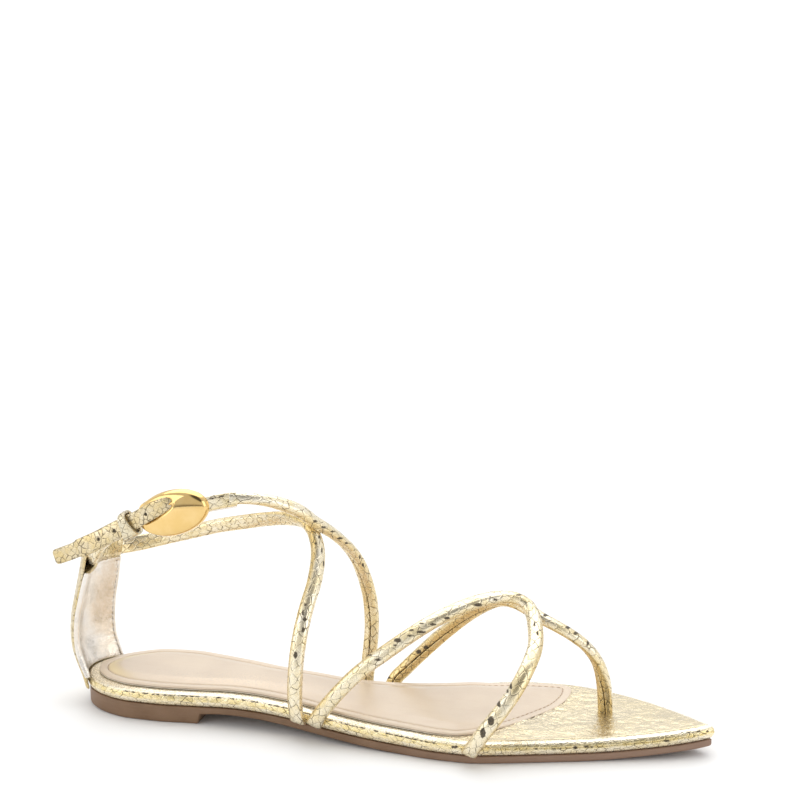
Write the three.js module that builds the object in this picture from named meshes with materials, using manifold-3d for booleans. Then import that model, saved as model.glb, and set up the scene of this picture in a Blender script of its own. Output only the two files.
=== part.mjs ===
// Gladiator sandal, right shoe, flat, pointed toe.
// x runs from the heel (0) to the toe tip, +y is the inner (medial) side, z is up from the ground.
// Units are millimetres.
import * as THREE from 'three';
import { mergeVertices } from 'three/addons/utils/BufferGeometryUtils.js';
import Module from 'manifold-3d';

const wasm = await Module();
wasm.setup();

// ---- driving dimensions -------------------------------------------------
const LENGTH = 263.2;        // heel back to toe tip
const STATIONS = 46;         // sections along the sole
const GAP = 0.3;             // clearance between neighbouring pieces
const OUTSOLE_INSET = 1.0;   // outsole edge inside the wrapped rim
const RIM_HEIGHT = 5.6;      // wrapped board, bottom to flat top
const SOCK_THICK = 1.9;      // padded sock, near its edge
const SOCK_CROWN = 0.7;      // how much its middle stands up
const COUNTER_WALL = 2.8;    // heel counter, both leathers
const COUNTER_RADIUS = 20;   // plan radius of the counter
const COUNTER_Y = -0.3;      // its axis, across
const COUNTER_FOOT = 7.75;   // lower edge
const TUNNEL_SEAM = 57.0;    // seam under the strap tunnel
const TUNNEL_TOP = 67.4;     // top of the folded tunnel
const TUNNEL_DEPTH = 6.6;    // outer face to inner flap
const STRAP_W = 6.0;         // rolled strap, across
const STRAP_T = 4.5;         // rolled strap, thick
const TAIL_W = 7.4;          // flat free end, across
const TAIL_T = 2.2;          // flat free end, thick
const BUCKLE_A = 15.6;       // buckle, half length
const BUCKLE_B = 9.2;        // buckle, half width
const BUCKLE_DOME = 5.2;     // height of the dome
const BUCKLE_SHELL = 1.5;    // wall of the hollow dome
const BAR_RADIUS = 1.0;

// greatest outline of the rim; lat is the outer side (-y), med the inner side
const OUTLINE = [
  { x: 0, lat: 0, med: 0 },
  { x: 1.3, lat: -6.6, med: 6.9 },
  { x: 5.2, lat: -13.2, med: 13.9 },
  { x: 13.1, lat: -19.9, med: 21.6 },
  { x: 26.2, lat: -24.4, med: 28.4 },
  { x: 39.3, lat: -24.9, med: 29.4 },
  { x: 52.4, lat: -23.7, med: 27.0 },
  { x: 65, lat: -23.3, med: 22.8 },
  { x: 78.6, lat: -24.0, med: 18.5 },
  { x: 91.5, lat: -25.8, med: 16.7 },
  { x: 104.8, lat: -28.3, med: 16.5 },
  { x: 118, lat: -31.0, med: 17.8 },
  { x: 131, lat: -33.2, med: 20.7 },
  { x: 144, lat: -34.9, med: 25.1 },
  { x: 157.2, lat: -36.9, med: 30.7 },
  { x: 170.3, lat: -37.4, med: 36.2 },
  { x: 183.4, lat: -34.4, med: 39.6 },
  { x: 196.5, lat: -30.2, med: 40.2 },
  { x: 209.6, lat: -25.9, med: 37.9 },
  { x: 222.7, lat: -21.6, med: 32.4 },
  { x: 235.8, lat: -17.0, med: 23.8 },
  { x: 248.9, lat: -11.8, med: 12.8 },
  { x: 257.6, lat: -7.4, med: 4.0 },
  { x: 261.8, lat: -4.4, med: -0.4 },
  { x: LENGTH, lat: -2.3, med: -2.3 },
];

// height of the joint between outsole and wrapped board, along the shoe
const JOINT = [
  { x: 0, z: 7.3 }, { x: 50, z: 7.3 }, { x: 72, z: 7.9 }, { x: 92, z: 7.3 },
  { x: 110, z: 5.8 }, { x: 127, z: 4.5 }, { x: 144, z: 3.65 }, { x: 165, z: 3.25 },
  { x: 190, z: 3.2 }, { x: 215, z: 3.4 }, { x: 240, z: 4.7 }, { x: 262, z: 6.7 },
];

// underside: heel block, breast, arch, ball on the ground, toe spring
const UNDER = [
  { x: 0, z: 0 }, { x: 55.4, z: 0 }, { x: 56.6, z: 4.1 }, { x: 65, z: 4.8 },
  { x: 73, z: 4.9 }, { x: 83, z: 4.6 }, { x: 92, z: 4.0 }, { x: 110, z: 2.4 },
  { x: 127, z: 1.0 }, { x: 138, z: 0.3 }, { x: 146, z: 0 }, { x: 212, z: 0 },
  { x: 225, z: 0.5 }, { x: 240, z: 1.6 }, { x: 252, z: 2.7 }, { x: 262, z: 3.5 },
];

// padded sock: 5 mm inside the rim, cut off in a slant behind the toes
const SOCK = [
  { x: 5.2, lat: 0, med: 0 },
  { x: 6.4, lat: -5.6, med: 5.8 },
  { x: 9.5, lat: -10.6, med: 11.6 },
  { x: 16, lat: -15.8, med: 18.0 },
  { x: 26.2, lat: -19.4, med: 23.6 },
  { x: 39.3, lat: -20.0, med: 24.8 },
  { x: 52.4, lat: -18.9, med: 22.4 },
  { x: 65, lat: -18.4, med: 18.2 },
  { x: 78.6, lat: -19.0, med: 13.9 },
  { x: 91.5, lat: -20.7, med: 12.1 },
  { x: 104.8, lat: -23.2, med: 11.9 },
  { x: 118, lat: -26.0, med: 13.2 },
  { x: 131, lat: -28.2, med: 16.1 },
  { x: 144, lat: -30.0, med: 20.5 },
  { x: 157.2, lat: -32.0, med: 26.0 },
  { x: 164.5, lat: -32.2, med: 29.2 },
  { x: 171.0, lat: -29.6, med: 31.6 },
  { x: 180.3, lat: -20.8, med: 34.0 },
  { x: 188.0, lat: -8.2, med: 35.2 },
  { x: 194.0, lat: 1.6, med: 35.5 },
  { x: 198.2, lat: 9.8, med: 34.4 },
  { x: 200.2, lat: 17.5, med: 31.6 },
  { x: 200.9, lat: 25.0, med: 25.0 },
];

// centre-back of the counter's middle surface, up the heel
const COUNTER_BACK = [
  { z: 6, x: 0.9 }, { z: 9, x: 0.2 }, { z: 13.5, x: -1.2 }, { z: 18, x: -3.0 },
  { z: 24, x: -4.7 }, { z: 30, x: -5.2 }, { z: 37, x: -4.7 }, { z: 45, x: -3.1 },
  { z: 52, x: -1.5 }, { z: 60, x: 0.2 }, { z: 68, x: 1.6 },
];

// half angles of the counter, outer side and inner side, in degrees
const COUNTER_SWEEP = [
  { z: 6, lat: -43, med: 56 }, { z: 14, lat: -43, med: 58 }, { z: 22, lat: -42, med: 59 },
  { z: 32, lat: -42, med: 60 }, { z: 45, lat: -42.5, med: 59 }, { z: 58, lat: -43, med: 56 },
  { z: 68, lat: -43, med: 54 },
];

// the leg and foot that the straps lie around; each strap faces away from it
const CORE = [
  { x: 46, y: -2, z: 120 }, { x: 50, y: -2, z: 88 }, { x: 62, y: -2, z: 66 },
  { x: 84, y: -3, z: 44 }, { x: 112, y: -4, z: 30 }, { x: 150, y: -4, z: 22 },
  { x: 190, y: 0, z: 16 }, { x: 232, y: 6, z: 9 },
];

// strap centre lines; w across, t thick, flat 0 for a rolled strap and 1 for a flat one
const R = { w: STRAP_W, t: STRAP_T, flat: 0 };
const ANKLE_OUTER = [   // outer sole edge to the crossing over the instep, on round the inner ankle
  { x: 100.9, y: -22.5, z: 8.35, w: 6.6, t: 2.2, flat: 1 },
  { x: 100.8, y: -27.0, z: 8.3, w: 6.6, t: 2.3, flat: 1 },
  { x: 100.6, y: -29.6, z: 8.9, w: 6.4, t: 3.0, flat: 0.5 },
  { x: 100.3, y: -30.9, z: 12.6, ...R },
  { x: 100.0, y: -31.3, z: 17.8, ...R },
  { x: 100.1, y: -31.0, z: 26.1, ...R },
  { x: 100.5, y: -30.0, z: 34.2, ...R },
  { x: 101.1, y: -28.0, z: 41.9, ...R },
  { x: 102.0, y: -24.0, z: 50.2, ...R },
  { x: 102.7, y: -20.0, z: 55.7, ...R },
  { x: 103.4, y: -15.0, z: 61.1, ...R },
  { x: 103.4, y: -10.4, z: 66.2, ...R },
  { x: 102.8, y: -6.4, z: 70.6, ...R },
  { x: 101.4, y: -3.2, z: 74.8, ...R },
  { x: 98.8, y: -0.2, z: 78.6, ...R },
  { x: 94.8, y: 3.0, z: 80.9, ...R },
  { x: 89.3, y: 6.3, z: 81.3, ...R },
  { x: 82.9, y: 10.0, z: 80.4, ...R },
  { x: 73.8, y: 14.2, z: 78.2, ...R },
  { x: 61.3, y: 18.4, z: 74.7, ...R },
  { x: 51.7, y: 20.6, z: 72.1, ...R },
  { x: 42.3, y: 21.8, z: 69.2, ...R },
  { x: 33.1, y: 22.2, z: 66.4, ...R },
  { x: 24.5, y: 21.4, z: 64.2, w: 6.2, t: 4.0, flat: 0.2 },
  { x: 17.2, y: 19.0, z: 62.7, w: 6.6, t: 3.2, flat: 0.6 },
  { x: 10.9, y: 14.8, z: 62.1, w: 6.8, t: 2.7, flat: 1 },
  { x: 5.2, y: 8.4, z: 62.2, w: 6.8, t: 2.6, flat: 1 },
  { x: 2.8, y: -0.3, z: 62.8, w: 6.8, t: 2.6, flat: 1 },
  { x: 5.0, y: -9.2, z: 63.8, w: 6.8, t: 2.6, flat: 1 },
  { x: 8.6, y: -14.2, z: 65.6, w: 6.8, t: 2.6, flat: 1 },
  { x: 12.4, y: -18.2, z: 71.0, w: 6.8, t: 2.6, flat: 1 },
  { x: 17.2, y: -21.6, z: 75.8, w: 6.8, t: 2.6, flat: 1 },
  { x: 24.0, y: -23.6, z: 80.8, w: 6.8, t: 2.6, flat: 1 },
  { x: 31.6, y: -24.0, z: 85.0, w: 6.8, t: 2.6, flat: 1 },
  { x: 39.8, y: -24.0, z: 89.6, w: 6.8, t: 2.4, flat: 1 },
  { x: 46.5, y: -24.0, z: 92.6, w: 6.8, t: 2.3, flat: 1 },
  { x: 50.2, y: -24.6, z: 93.7, w: 6.8, t: 2.2, flat: 1 },
];
const ANKLE_INNER = [   // inner sole edge over the crossing to the buckle's bar
  { x: 115.6, y: 10.5, z: 7.0, w: 6.6, t: 2.2, flat: 1 },
  { x: 115.6, y: 15.0, z: 6.95, w: 6.6, t: 2.3, flat: 1 },
  { x: 115.6, y: 18.0, z: 7.8, w: 6.4, t: 3.0, flat: 0.5 },
  { x: 115.8, y: 19.7, z: 12.4, ...R },
  { x: 116.5, y: 20.8, z: 20.2, ...R },
  { x: 117.1, y: 21.5, z: 27.2, ...R },
  { x: 117.2, y: 22.5, z: 35.4, ...R },
  { x: 116.6, y: 22.5, z: 43.6, ...R },
  { x: 115.7, y: 21.4, z: 50.0, ...R },
  { x: 114.5, y: 19.0, z: 56.7, ...R },
  { x: 113.0, y: 15.5, z: 63.3, ...R },
  { x: 110.4, y: 10.5, z: 70.1, ...R },
  { x: 105.6, y: 4.4, z: 77.2, ...R },
  { x: 100.2, y: -1.4, z: 82.8, ...R },
  { x: 95.6, y: -6.0, z: 88.2, ...R },
  { x: 89.6, y: -11.2, z: 92.0, w: 5.4, t: 4.3, flat: 0 },
  { x: 83.6, y: -15.6, z: 94.6, w: 4.8, t: 4.2, flat: 0 },
  { x: 77.6, y: -19.0, z: 95.7, w: 4.6, t: 4.0, flat: 0.2 },
  { x: 71.4, y: -21.6, z: 95.7, w: 5.6, t: 3.8, flat: 0.8 },
  { x: 64.9, y: -23.6, z: 94.9, w: 5.9, t: 3.6, flat: 1 },
  { x: 59.4, y: -24.9, z: 93.7, w: 6.0, t: 3.6, flat: 1 },
  { x: 54.6, y: -25.2, z: 92.4, w: 6.2, t: 3.6, flat: 1 },
];
const TAIL = [          // flat free end, doubled back through the keeper
  { x: -3.8, y: -24.2, z: 66.9, w: 6.4, t: 1.9, flat: 1 },
  { x: -0.6, y: -24.9, z: 68.3, w: TAIL_W, t: TAIL_T, flat: 1 },
  { x: 4.6, y: -25.9, z: 70.4, w: TAIL_W, t: TAIL_T, flat: 1 },
  { x: 10.4, y: -26.5, z: 73.2, w: TAIL_W, t: TAIL_T, flat: 1 },
  { x: 16.3, y: -26.8, z: 76.4, w: TAIL_W, t: TAIL_T, flat: 1 },
  { x: 22.4, y: -27.0, z: 79.8, w: TAIL_W, t: TAIL_T, flat: 1 },
  { x: 28.4, y: -27.2, z: 83.3, w: 7.2, t: TAIL_T, flat: 1 },
  { x: 34.6, y: -28.0, z: 87.1, w: 6.8, t: TAIL_T, flat: 1 },
  { x: 41.0, y: -28.6, z: 91.1, w: 6.6, t: TAIL_T, flat: 1 },
  { x: 46.5, y: -28.5, z: 93.9, w: 6.0, t: TAIL_T, flat: 1 },
  { x: 50.0, y: -27.6, z: 95.0, w: 5.2, t: TAIL_T, flat: 1 },
];
const TURN = [          // where the strap turns back inside the buckle
  { x: 50.4, y: -23.9, z: 94.1, w: 5.6, t: 2.4, flat: 1 },
  { x: 51.0, y: -26.0, z: 94.6, w: 5.4, t: 2.4, flat: 1 },
  { x: 50.4, y: -28.1, z: 95.0, w: 5.2, t: 2.4, flat: 1 },
];
const TOE_INNER = [     // inner sole edge to the toe crossing, on down as the thong
  { x: 125.9, y: 11.4, z: 6.05, w: 6.6, t: 2.2, flat: 1 },
  { x: 125.9, y: 16.8, z: 6.0, w: 6.6, t: 2.3, flat: 1 },
  { x: 126.1, y: 20.2, z: 6.9, w: 6.4, t: 3.0, flat: 0.5 },
  { x: 127.8, y: 21.9, z: 11.0, ...R },
  { x: 131.6, y: 22.6, z: 15.2, ...R },
  { x: 136.2, y: 22.8, z: 20.2, ...R },
  { x: 144.6, y: 22.0, z: 29.0, ...R },
  { x: 152.6, y: 20.1, z: 36.8, ...R },
  { x: 159.6, y: 17.5, z: 43.0, ...R },
  { x: 167.0, y: 13.8, z: 48.6, ...R },
  { x: 174.2, y: 9.6, z: 52.4, ...R },
  { x: 181.2, y: 6.0, z: 53.2, ...R },
  { x: 187.4, y: 3.8, z: 51.4, ...R },
  { x: 193.0, y: 3.1, z: 48.5, ...R },
  { x: 198.7, y: 3.5, z: 45.7, ...R },
  { x: 204.4, y: 4.5, z: 42.3, ...R },
  { x: 209.7, y: 6.0, z: 38.0, ...R },
  { x: 213.6, y: 7.4, z: 33.0, ...R },
  { x: 216.1, y: 8.6, z: 27.1, ...R },
  { x: 217.4, y: 9.3, z: 20.6, ...R },
  { x: 217.8, y: 9.7, z: 14.1, ...R },
  { x: 217.9, y: 9.7, z: 9.0, w: 5.8, t: 4.2, flat: 0.2 },
  { x: 217.9, y: 9.7, z: 5.4, w: 5.6, t: 3.6, flat: 0.5 },
];
const TOE_REAR = [      // outer sole edge, rear, up to the toe crossing
  { x: 107.6, y: -22.6, z: 7.7, w: 6.6, t: 2.2, flat: 1 },
  { x: 107.6, y: -27.6, z: 7.6, w: 6.6, t: 2.3, flat: 1 },
  { x: 107.9, y: -30.4, z: 8.5, w: 6.4, t: 3.0, flat: 0.5 },
  { x: 110.6, y: -31.6, z: 13.0, ...R },
  { x: 114.0, y: -31.9, z: 17.6, ...R },
  { x: 118.2, y: -32.0, z: 22.8, ...R },
  { x: 124.0, y: -31.4, z: 29.2, ...R },
  { x: 130.6, y: -30.0, z: 35.2, ...R },
  { x: 136.7, y: -28.0, z: 39.9, ...R },
  { x: 143.2, y: -25.3, z: 44.7, ...R },
  { x: 150.6, y: -21.7, z: 49.7, ...R },
  { x: 157.5, y: -17.6, z: 53.5, ...R },
  { x: 164.3, y: -13.2, z: 56.3, ...R },
  { x: 170.8, y: -8.6, z: 58.1, ...R },
  { x: 177.1, y: -4.4, z: 58.5, ...R },
  { x: 182.8, y: -1.0, z: 57.3, ...R },
  { x: 187.2, y: 1.2, z: 55.3, ...R },
  { x: 189.6, y: 2.0, z: 53.8, ...R },
];
const TOE_FRONT = [     // toe crossing back down to the outer sole edge, front
  { x: 185.4, y: 2.6, z: 56.0, ...R },
  { x: 188.6, y: 0.6, z: 54.4, ...R },
  { x: 191.2, y: -3.6, z: 51.7, ...R },
  { x: 193.2, y: -11.0, z: 47.7, ...R },
  { x: 194.3, y: -17.6, z: 44.6, ...R },
  { x: 194.3, y: -23.2, z: 41.8, ...R },
  { x: 193.2, y: -28.8, z: 38.2, ...R },
  { x: 191.0, y: -33.8, z: 33.2, ...R },
  { x: 187.3, y: -37.8, z: 26.9, ...R },
  { x: 182.9, y: -40.2, z: 20.6, ...R },
  { x: 178.6, y: -41.0, z: 14.6, ...R },
  { x: 175.2, y: -40.4, z: 9.2, ...R },
  { x: 173.0, y: -38.7, z: 5.7, w: 6.2, t: 3.0, flat: 0.5 },
  { x: 172.2, y: -35.2, z: 5.0, w: 6.2, t: 2.2, flat: 1 },
  { x: 172.0, y: -29.4, z: 5.0, w: 6.2, t: 2.0, flat: 1 },
];

// half sections of a strap: s across, n outwards, as parts of width and thickness
const ROLLED = [
  { s: -0.50, n: -0.20 }, { s: -0.38, n: -0.50 }, { s: 0.38, n: -0.50 }, { s: 0.50, n: -0.20 },
  { s: 0.46, n: 0.14 }, { s: 0.27, n: 0.43 }, { s: 0, n: 0.50 }, { s: -0.27, n: 0.43 }, { s: -0.46, n: 0.14 },
];
const FLATTENED = [
  { s: -0.50, n: -0.30 }, { s: -0.45, n: -0.50 }, { s: 0.45, n: -0.50 }, { s: 0.50, n: -0.30 },
  { s: 0.50, n: 0.25 }, { s: 0.42, n: 0.50 }, { s: 0, n: 0.50 }, { s: -0.42, n: 0.50 }, { s: -0.50, n: 0.25 },
];

// ---- small tools ----------------------------------------------------------
// smooth value of a named column, on a table sorted by another named column
function column(table, by, key, at) {
  const n = table.length;
  if (at <= table[0][by]) return table[0][key];
  if (at >= table[n - 1][by]) return table[n - 1][key];
  let i = 0;
  while (table[i + 1][by] < at) i++;
  const p1 = table[i], p2 = table[i + 1], p0 = table[i - 1], p3 = table[i + 2];
  const h = p2[by] - p1[by], s = (p2[key] - p1[key]) / h;
  const slope = (a, b, c) => {          // slope at b, limited so the curve doesn't overshoot
    const d0 = (b[key] - a[key]) / (b[by] - a[by]), d1 = (c[key] - b[key]) / (c[by] - b[by]);
    if (d0 * d1 <= 0) return 0;
    const h0 = b[by] - a[by], h1 = c[by] - b[by];
    return (h0 + h1) * 3 / ((2 * h1 + h0) / d0 + (h1 + 2 * h0) / d1);
  };
  const m1 = p0 ? slope(p0, p1, p2) : s, m2 = p3 ? slope(p1, p2, p3) : s;
  const t = (at - p1[by]) / h, t2 = t * t, t3 = t2 * t;
  return (2 * t3 - 3 * t2 + 1) * p1[key] + (t3 - 2 * t2 + t) * h * m1
    + (-2 * t3 + 3 * t2) * p2[key] + (t3 - t2) * h * m2;
}

function bodyFrom(points, faces) {
  const g = new THREE.BufferGeometry();
  g.setAttribute('position', new THREE.Float32BufferAttribute(points.flat(), 3));
  g.setIndex(faces.flat());
  const merged = mergeVertices(g, 1e-4);
  const pos = merged.attributes.position, idx = Array.from(merged.index.array);
  const kept = [];
  for (let i = 0; i < idx.length; i += 3)
    if (idx[i] !== idx[i + 1] && idx[i + 1] !== idx[i + 2] && idx[i] !== idx[i + 2]) kept.push(idx[i], idx[i + 1], idx[i + 2]);
  const a = new THREE.Vector3(), b = new THREE.Vector3(), c = new THREE.Vector3();
  let volume = 0;
  for (let i = 0; i < kept.length; i += 3) {
    a.fromBufferAttribute(pos, kept[i]); b.fromBufferAttribute(pos, kept[i + 1]); c.fromBufferAttribute(pos, kept[i + 2]);
    volume += a.dot(b.cross(c)) / 6;
  }
  if (volume < 0) for (let i = 0; i < kept.length; i += 3) { const k = kept[i]; kept[i] = kept[i + 1]; kept[i + 1] = k; }
  return new wasm.Manifold(new wasm.Mesh({
    numProp: 3, vertProperties: new Float32Array(pos.array), triVerts: new Uint32Array(kept),
  }));
}

function geometryFrom(solid) {
  const mesh = solid.getMesh();
  const g = new THREE.BufferGeometry();
  g.setAttribute('position', new THREE.Float32BufferAttribute(mesh.vertProperties, 3));
  g.setIndex(Array.from(mesh.triVerts));
  g.computeVertexNormals();
  return g;
}

function join(solids) { return solids.reduce((a, b) => a.add(b)); }

// ---- sole shapes: one outline, stacked rings -------------------------------
// outline as a closed loop, outer side heel to toe and inner side back again
function outlineLoop(table, extra = []) {
  const x0 = table[0].x, x1 = table[table.length - 1].x, span = x1 - x0;
  const turn = (x) => Math.acos(1 - 2 * (x - x0) / span) / Math.PI;
  const rows = table.map((r) => ({ u: turn(r.x), lat: r.lat, med: r.med }));
  const us = [];
  for (let i = 0; i <= STATIONS; i++) us.push(i / STATIONS);
  for (const x of extra) {               // a station just where a step is, instead of the one beside it
    const u = turn(x), near = us.findIndex((v) => Math.abs(v - u) < 0.45 / STATIONS);
    if (near > 0) us.splice(near, 1);
  }
  for (const x of extra) us.push(turn(x));
  us.sort((a, b) => a - b);
  return us.map((u) => {
    const x = x0 + span * (1 - Math.cos(Math.PI * u)) / 2;
    return { x, lat: column(rows, 'u', 'lat', u), med: column(rows, 'u', 'med', u) };
  });
}

// the loop drawn in by an inset, square to its own edge
function ring(loop, inset, zOf) {
  const n = loop.length - 1;
  const pts = [];
  for (let i = 0; i <= n; i++) pts.push([loop[i].x, loop[i].lat]);
  for (let i = n - 1; i >= 1; i--) pts.push([loop[i].x, loop[i].med]);
  const m = pts.length;
  const out = pts.map((p, i) => {
    const q = pts[(i + 1) % m], o = pts[(i + m - 1) % m];
    const tx = q[0] - o[0], ty = q[1] - o[1], l = Math.hypot(tx, ty) || 1;
    return [p[0] - ty / l * inset, p[1] + tx / l * inset];
  });
  for (let i = 1; i < n; i++) {          // the two sides never cross at the pointed ends
    const a = out[i], b = out[m - i];
    if (a[1] > b[1] - 0.3) { const c = (a[1] + b[1]) / 2; a[1] = c - 0.15; b[1] = c + 0.15; }
  }
  return out.map(([x, y]) => [x, y, zOf(x)]);
}

function layered(loop, layers) {
  const n = loop.length - 1, rings = layers.map((l) => ring(loop, l.inset, l.z)), m = rings[0].length;
  const points = rings.flat(), faces = [];
  for (let r = 0; r + 1 < rings.length; r++)
    for (let i = 0; i < m; i++) {
      const a = r * m + i, b = r * m + (i + 1) % m;
      faces.push([a, b, b + m], [a, b + m, a + m]);
    }
  for (const [base, up] of [[0, false], [(rings.length - 1) * m, true]])
    for (let i = 0; i < n; i++) {
      const l0 = base + i, l1 = base + i + 1, m0 = base + (m - i) % m, m1 = base + (m - i - 1);
      const quad = i + 1 === n ? [[l0, l1, m0]] : i === 0 ? [[l0, l1, m1]] : [[l0, l1, m1], [l0, m1, m0]];
      for (const f of quad) faces.push(up ? f : [f[0], f[2], f[1]]);
    }
  return bodyFrom(points, faces);
}

const jointZ = (x) => column(JOINT, 'x', 'z', x);
const underZ = (x) => {                  // straight between its rows, so the flats stay flat
  let i = 0;
  while (i < UNDER.length - 2 && UNDER[i + 1].x < x) i++;
  const a = UNDER[i], b = UNDER[i + 1], t = Math.min(1, Math.max(0, (x - a.x) / (b.x - a.x)));
  return a.z + (b.z - a.z) * t;
};

// ---- straps ------------------------------------------------------------------
const coreCurve = new THREE.CatmullRomCurve3(CORE.map((c) => new THREE.Vector3(c.x, c.y, c.z)));
const corePoints = coreCurve.getPoints(160);
function awayFromFoot(p) {
  let best = corePoints[0], d = Infinity;
  for (const c of corePoints) { const e = c.distanceToSquared(p); if (e < d) { d = e; best = c; } }
  return p.clone().sub(best).normalize();
}

function strap(rows, { step = 5, grow = 0 } = {}) {
  const curve = new THREE.CatmullRomCurve3(rows.map((r) => new THREE.Vector3(r.x, r.y, r.z)), false, 'centripetal');
  // distance along the curve at each row, so that w, t and flat can follow
  const fine = 40 * rows.length, pts = curve.getPoints(fine);
  const along = [0];
  for (let i = 1; i < pts.length; i++) along.push(along[i - 1] + pts[i].distanceTo(pts[i - 1]));
  const total = along[fine];
  const at = rows.map((r, i) => ({ d: along[Math.round(i * fine / (rows.length - 1))], w: r.w, t: r.t, flat: r.flat }));
  const count = Math.max(2, Math.round(total / step));
  const points = [], faces = [], m = ROLLED.length;
  for (let k = 0; k <= count; k++) {
    const d = total * k / count;
    const p = curve.getPointAt(k / count), tan = curve.getTangentAt(k / count);
    if (k === 0) p.addScaledVector(tan, -grow);
    if (k === count) p.addScaledVector(tan, grow);
    const out = awayFromFoot(p), side = new THREE.Vector3().crossVectors(tan, out).normalize();
    out.crossVectors(side, tan).normalize();
    const w = column(at, 'd', 'w', d) + 2 * grow, t = column(at, 'd', 't', d) + 2 * grow, flat = column(at, 'd', 'flat', d);
    for (let j = 0; j < m; j++) {
      const s = (ROLLED[j].s * (1 - flat) + FLATTENED[j].s * flat) * w;
      const n = (ROLLED[j].n * (1 - flat) + FLATTENED[j].n * flat) * t;
      points.push([p.x + side.x * s + out.x * n, p.y + side.y * s + out.y * n, p.z + side.z * s + out.z * n]);
    }
  }
  for (let k = 0; k < count; k++)
    for (let j = 0; j < m; j++) {
      const a = k * m + j, b = k * m + (j + 1) % m;
      faces.push([a, b, b + m], [a, b + m, a + m]);
    }
  for (let j = 1; j + 1 < m; j++) {
    faces.push([0, j + 1, j]);
    faces.push([count * m, count * m + j, count * m + j + 1]);
  }
  return bodyFrom(points, faces);
}

// ---- heel counter ------------------------------------------------------------
// section up the back: r inwards from the middle surface, z up
const WALL_LEVELS = [12, 17, 22, 27, 33, 40, 47, 53];
function counterSection(grow) {
  const h = COUNTER_WALL / 2 + grow, seam = TUNNEL_SEAM - grow, top = TUNNEL_TOP + grow;
  const flap = COUNTER_WALL / 2 - TUNNEL_DEPTH - grow;
  const outer = [];
  for (const z of [COUNTER_FOOT - grow, ...WALL_LEVELS, 58, 62]) outer.push({ r: h, z });
  outer.push({ r: h - 0.3, z: 65.2 }, { r: h - 1.3, z: top - 0.5 }, { r: (h + flap) / 2, z: top },
    { r: flap + 1.0, z: top - 0.9 }, { r: flap + 0.1, z: 64.6 }, { r: flap, z: 62.0 }, { r: flap + 0.9, z: seam + 1.2 });
  const inner = [{ r: -h, z: seam - 0.6 }];
  for (const z of [...[...WALL_LEVELS].reverse(), COUNTER_FOOT - grow]) inner.push({ r: -h, z });
  return outer.concat(inner);
}

function counterBody(grow = 0) {
  const section = counterSection(grow), m = section.length, slices = 14;
  const points = [], faces = [];
  for (let k = 0; k <= slices; k++)
    for (const { r, z } of section) {
      const back = column(COUNTER_BACK, 'z', 'x', z), radius = COUNTER_RADIUS + r;
      const a0 = column(COUNTER_SWEEP, 'z', 'lat', z), a1 = column(COUNTER_SWEEP, 'z', 'med', z);
      const extra = grow / COUNTER_RADIUS * 180 / Math.PI;
      const a = THREE.MathUtils.degToRad((a0 - extra) + (a1 - a0 + 2 * extra) * k / slices);
      points.push([back + COUNTER_RADIUS - radius * Math.cos(a), COUNTER_Y + radius * Math.sin(a), z]);
    }
  for (let k = 0; k < slices; k++)
    for (let j = 0; j < m; j++) {
      const a = k * m + j, b = k * m + (j + 1) % m;
      faces.push([a, b, b + m], [a, b + m, a + m]);
    }
  // end faces: a ladder up the wall, then the tunnel's own outline
  const rungs = WALL_LEVELS.length + 1;
  const cap = [];
  for (let i = 0; i + 1 < rungs; i++) cap.push([i, i + 1, m - 2 - i], [i, m - 2 - i, m - 1 - i]);
  const head = section.slice(rungs - 1, m - rungs + 1).map(({ r, z }) => new THREE.Vector2(r, z));
  const turning = Math.sign(THREE.ShapeUtils.area(head));
  for (const [i, p, q] of THREE.ShapeUtils.triangulateShape(head, [])) {
    const same = Math.sign(THREE.ShapeUtils.area([head[i], head[p], head[q]])) === turning;
    cap.push((same ? [i, p, q] : [i, q, p]).map((v) => v + rungs - 1));
  }
  for (const [i, p, q] of cap) {
    faces.push([i, q, p]);
    faces.push([slices * m + i, slices * m + p, slices * m + q]);
  }
  return bodyFrom(points, faces);
}

// ---- buckle --------------------------------------------------------------------
const buckleMid = new THREE.Vector3(48.6, -25.6, 90.0);
const buckleU = new THREE.Vector3(0.951, 0, 0.309);                 // along the strap
const buckleN = new THREE.Vector3(0, -1, 0);                         // away from the ankle
const buckleV = new THREE.Vector3().crossVectors(buckleN, buckleU);
const onBuckle = (u, v, n) => {
  const p = buckleMid.clone().addScaledVector(buckleU, u).addScaledVector(buckleV, v).addScaledVector(buckleN, n);
  return [p.x, p.y, p.z];
};
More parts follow.
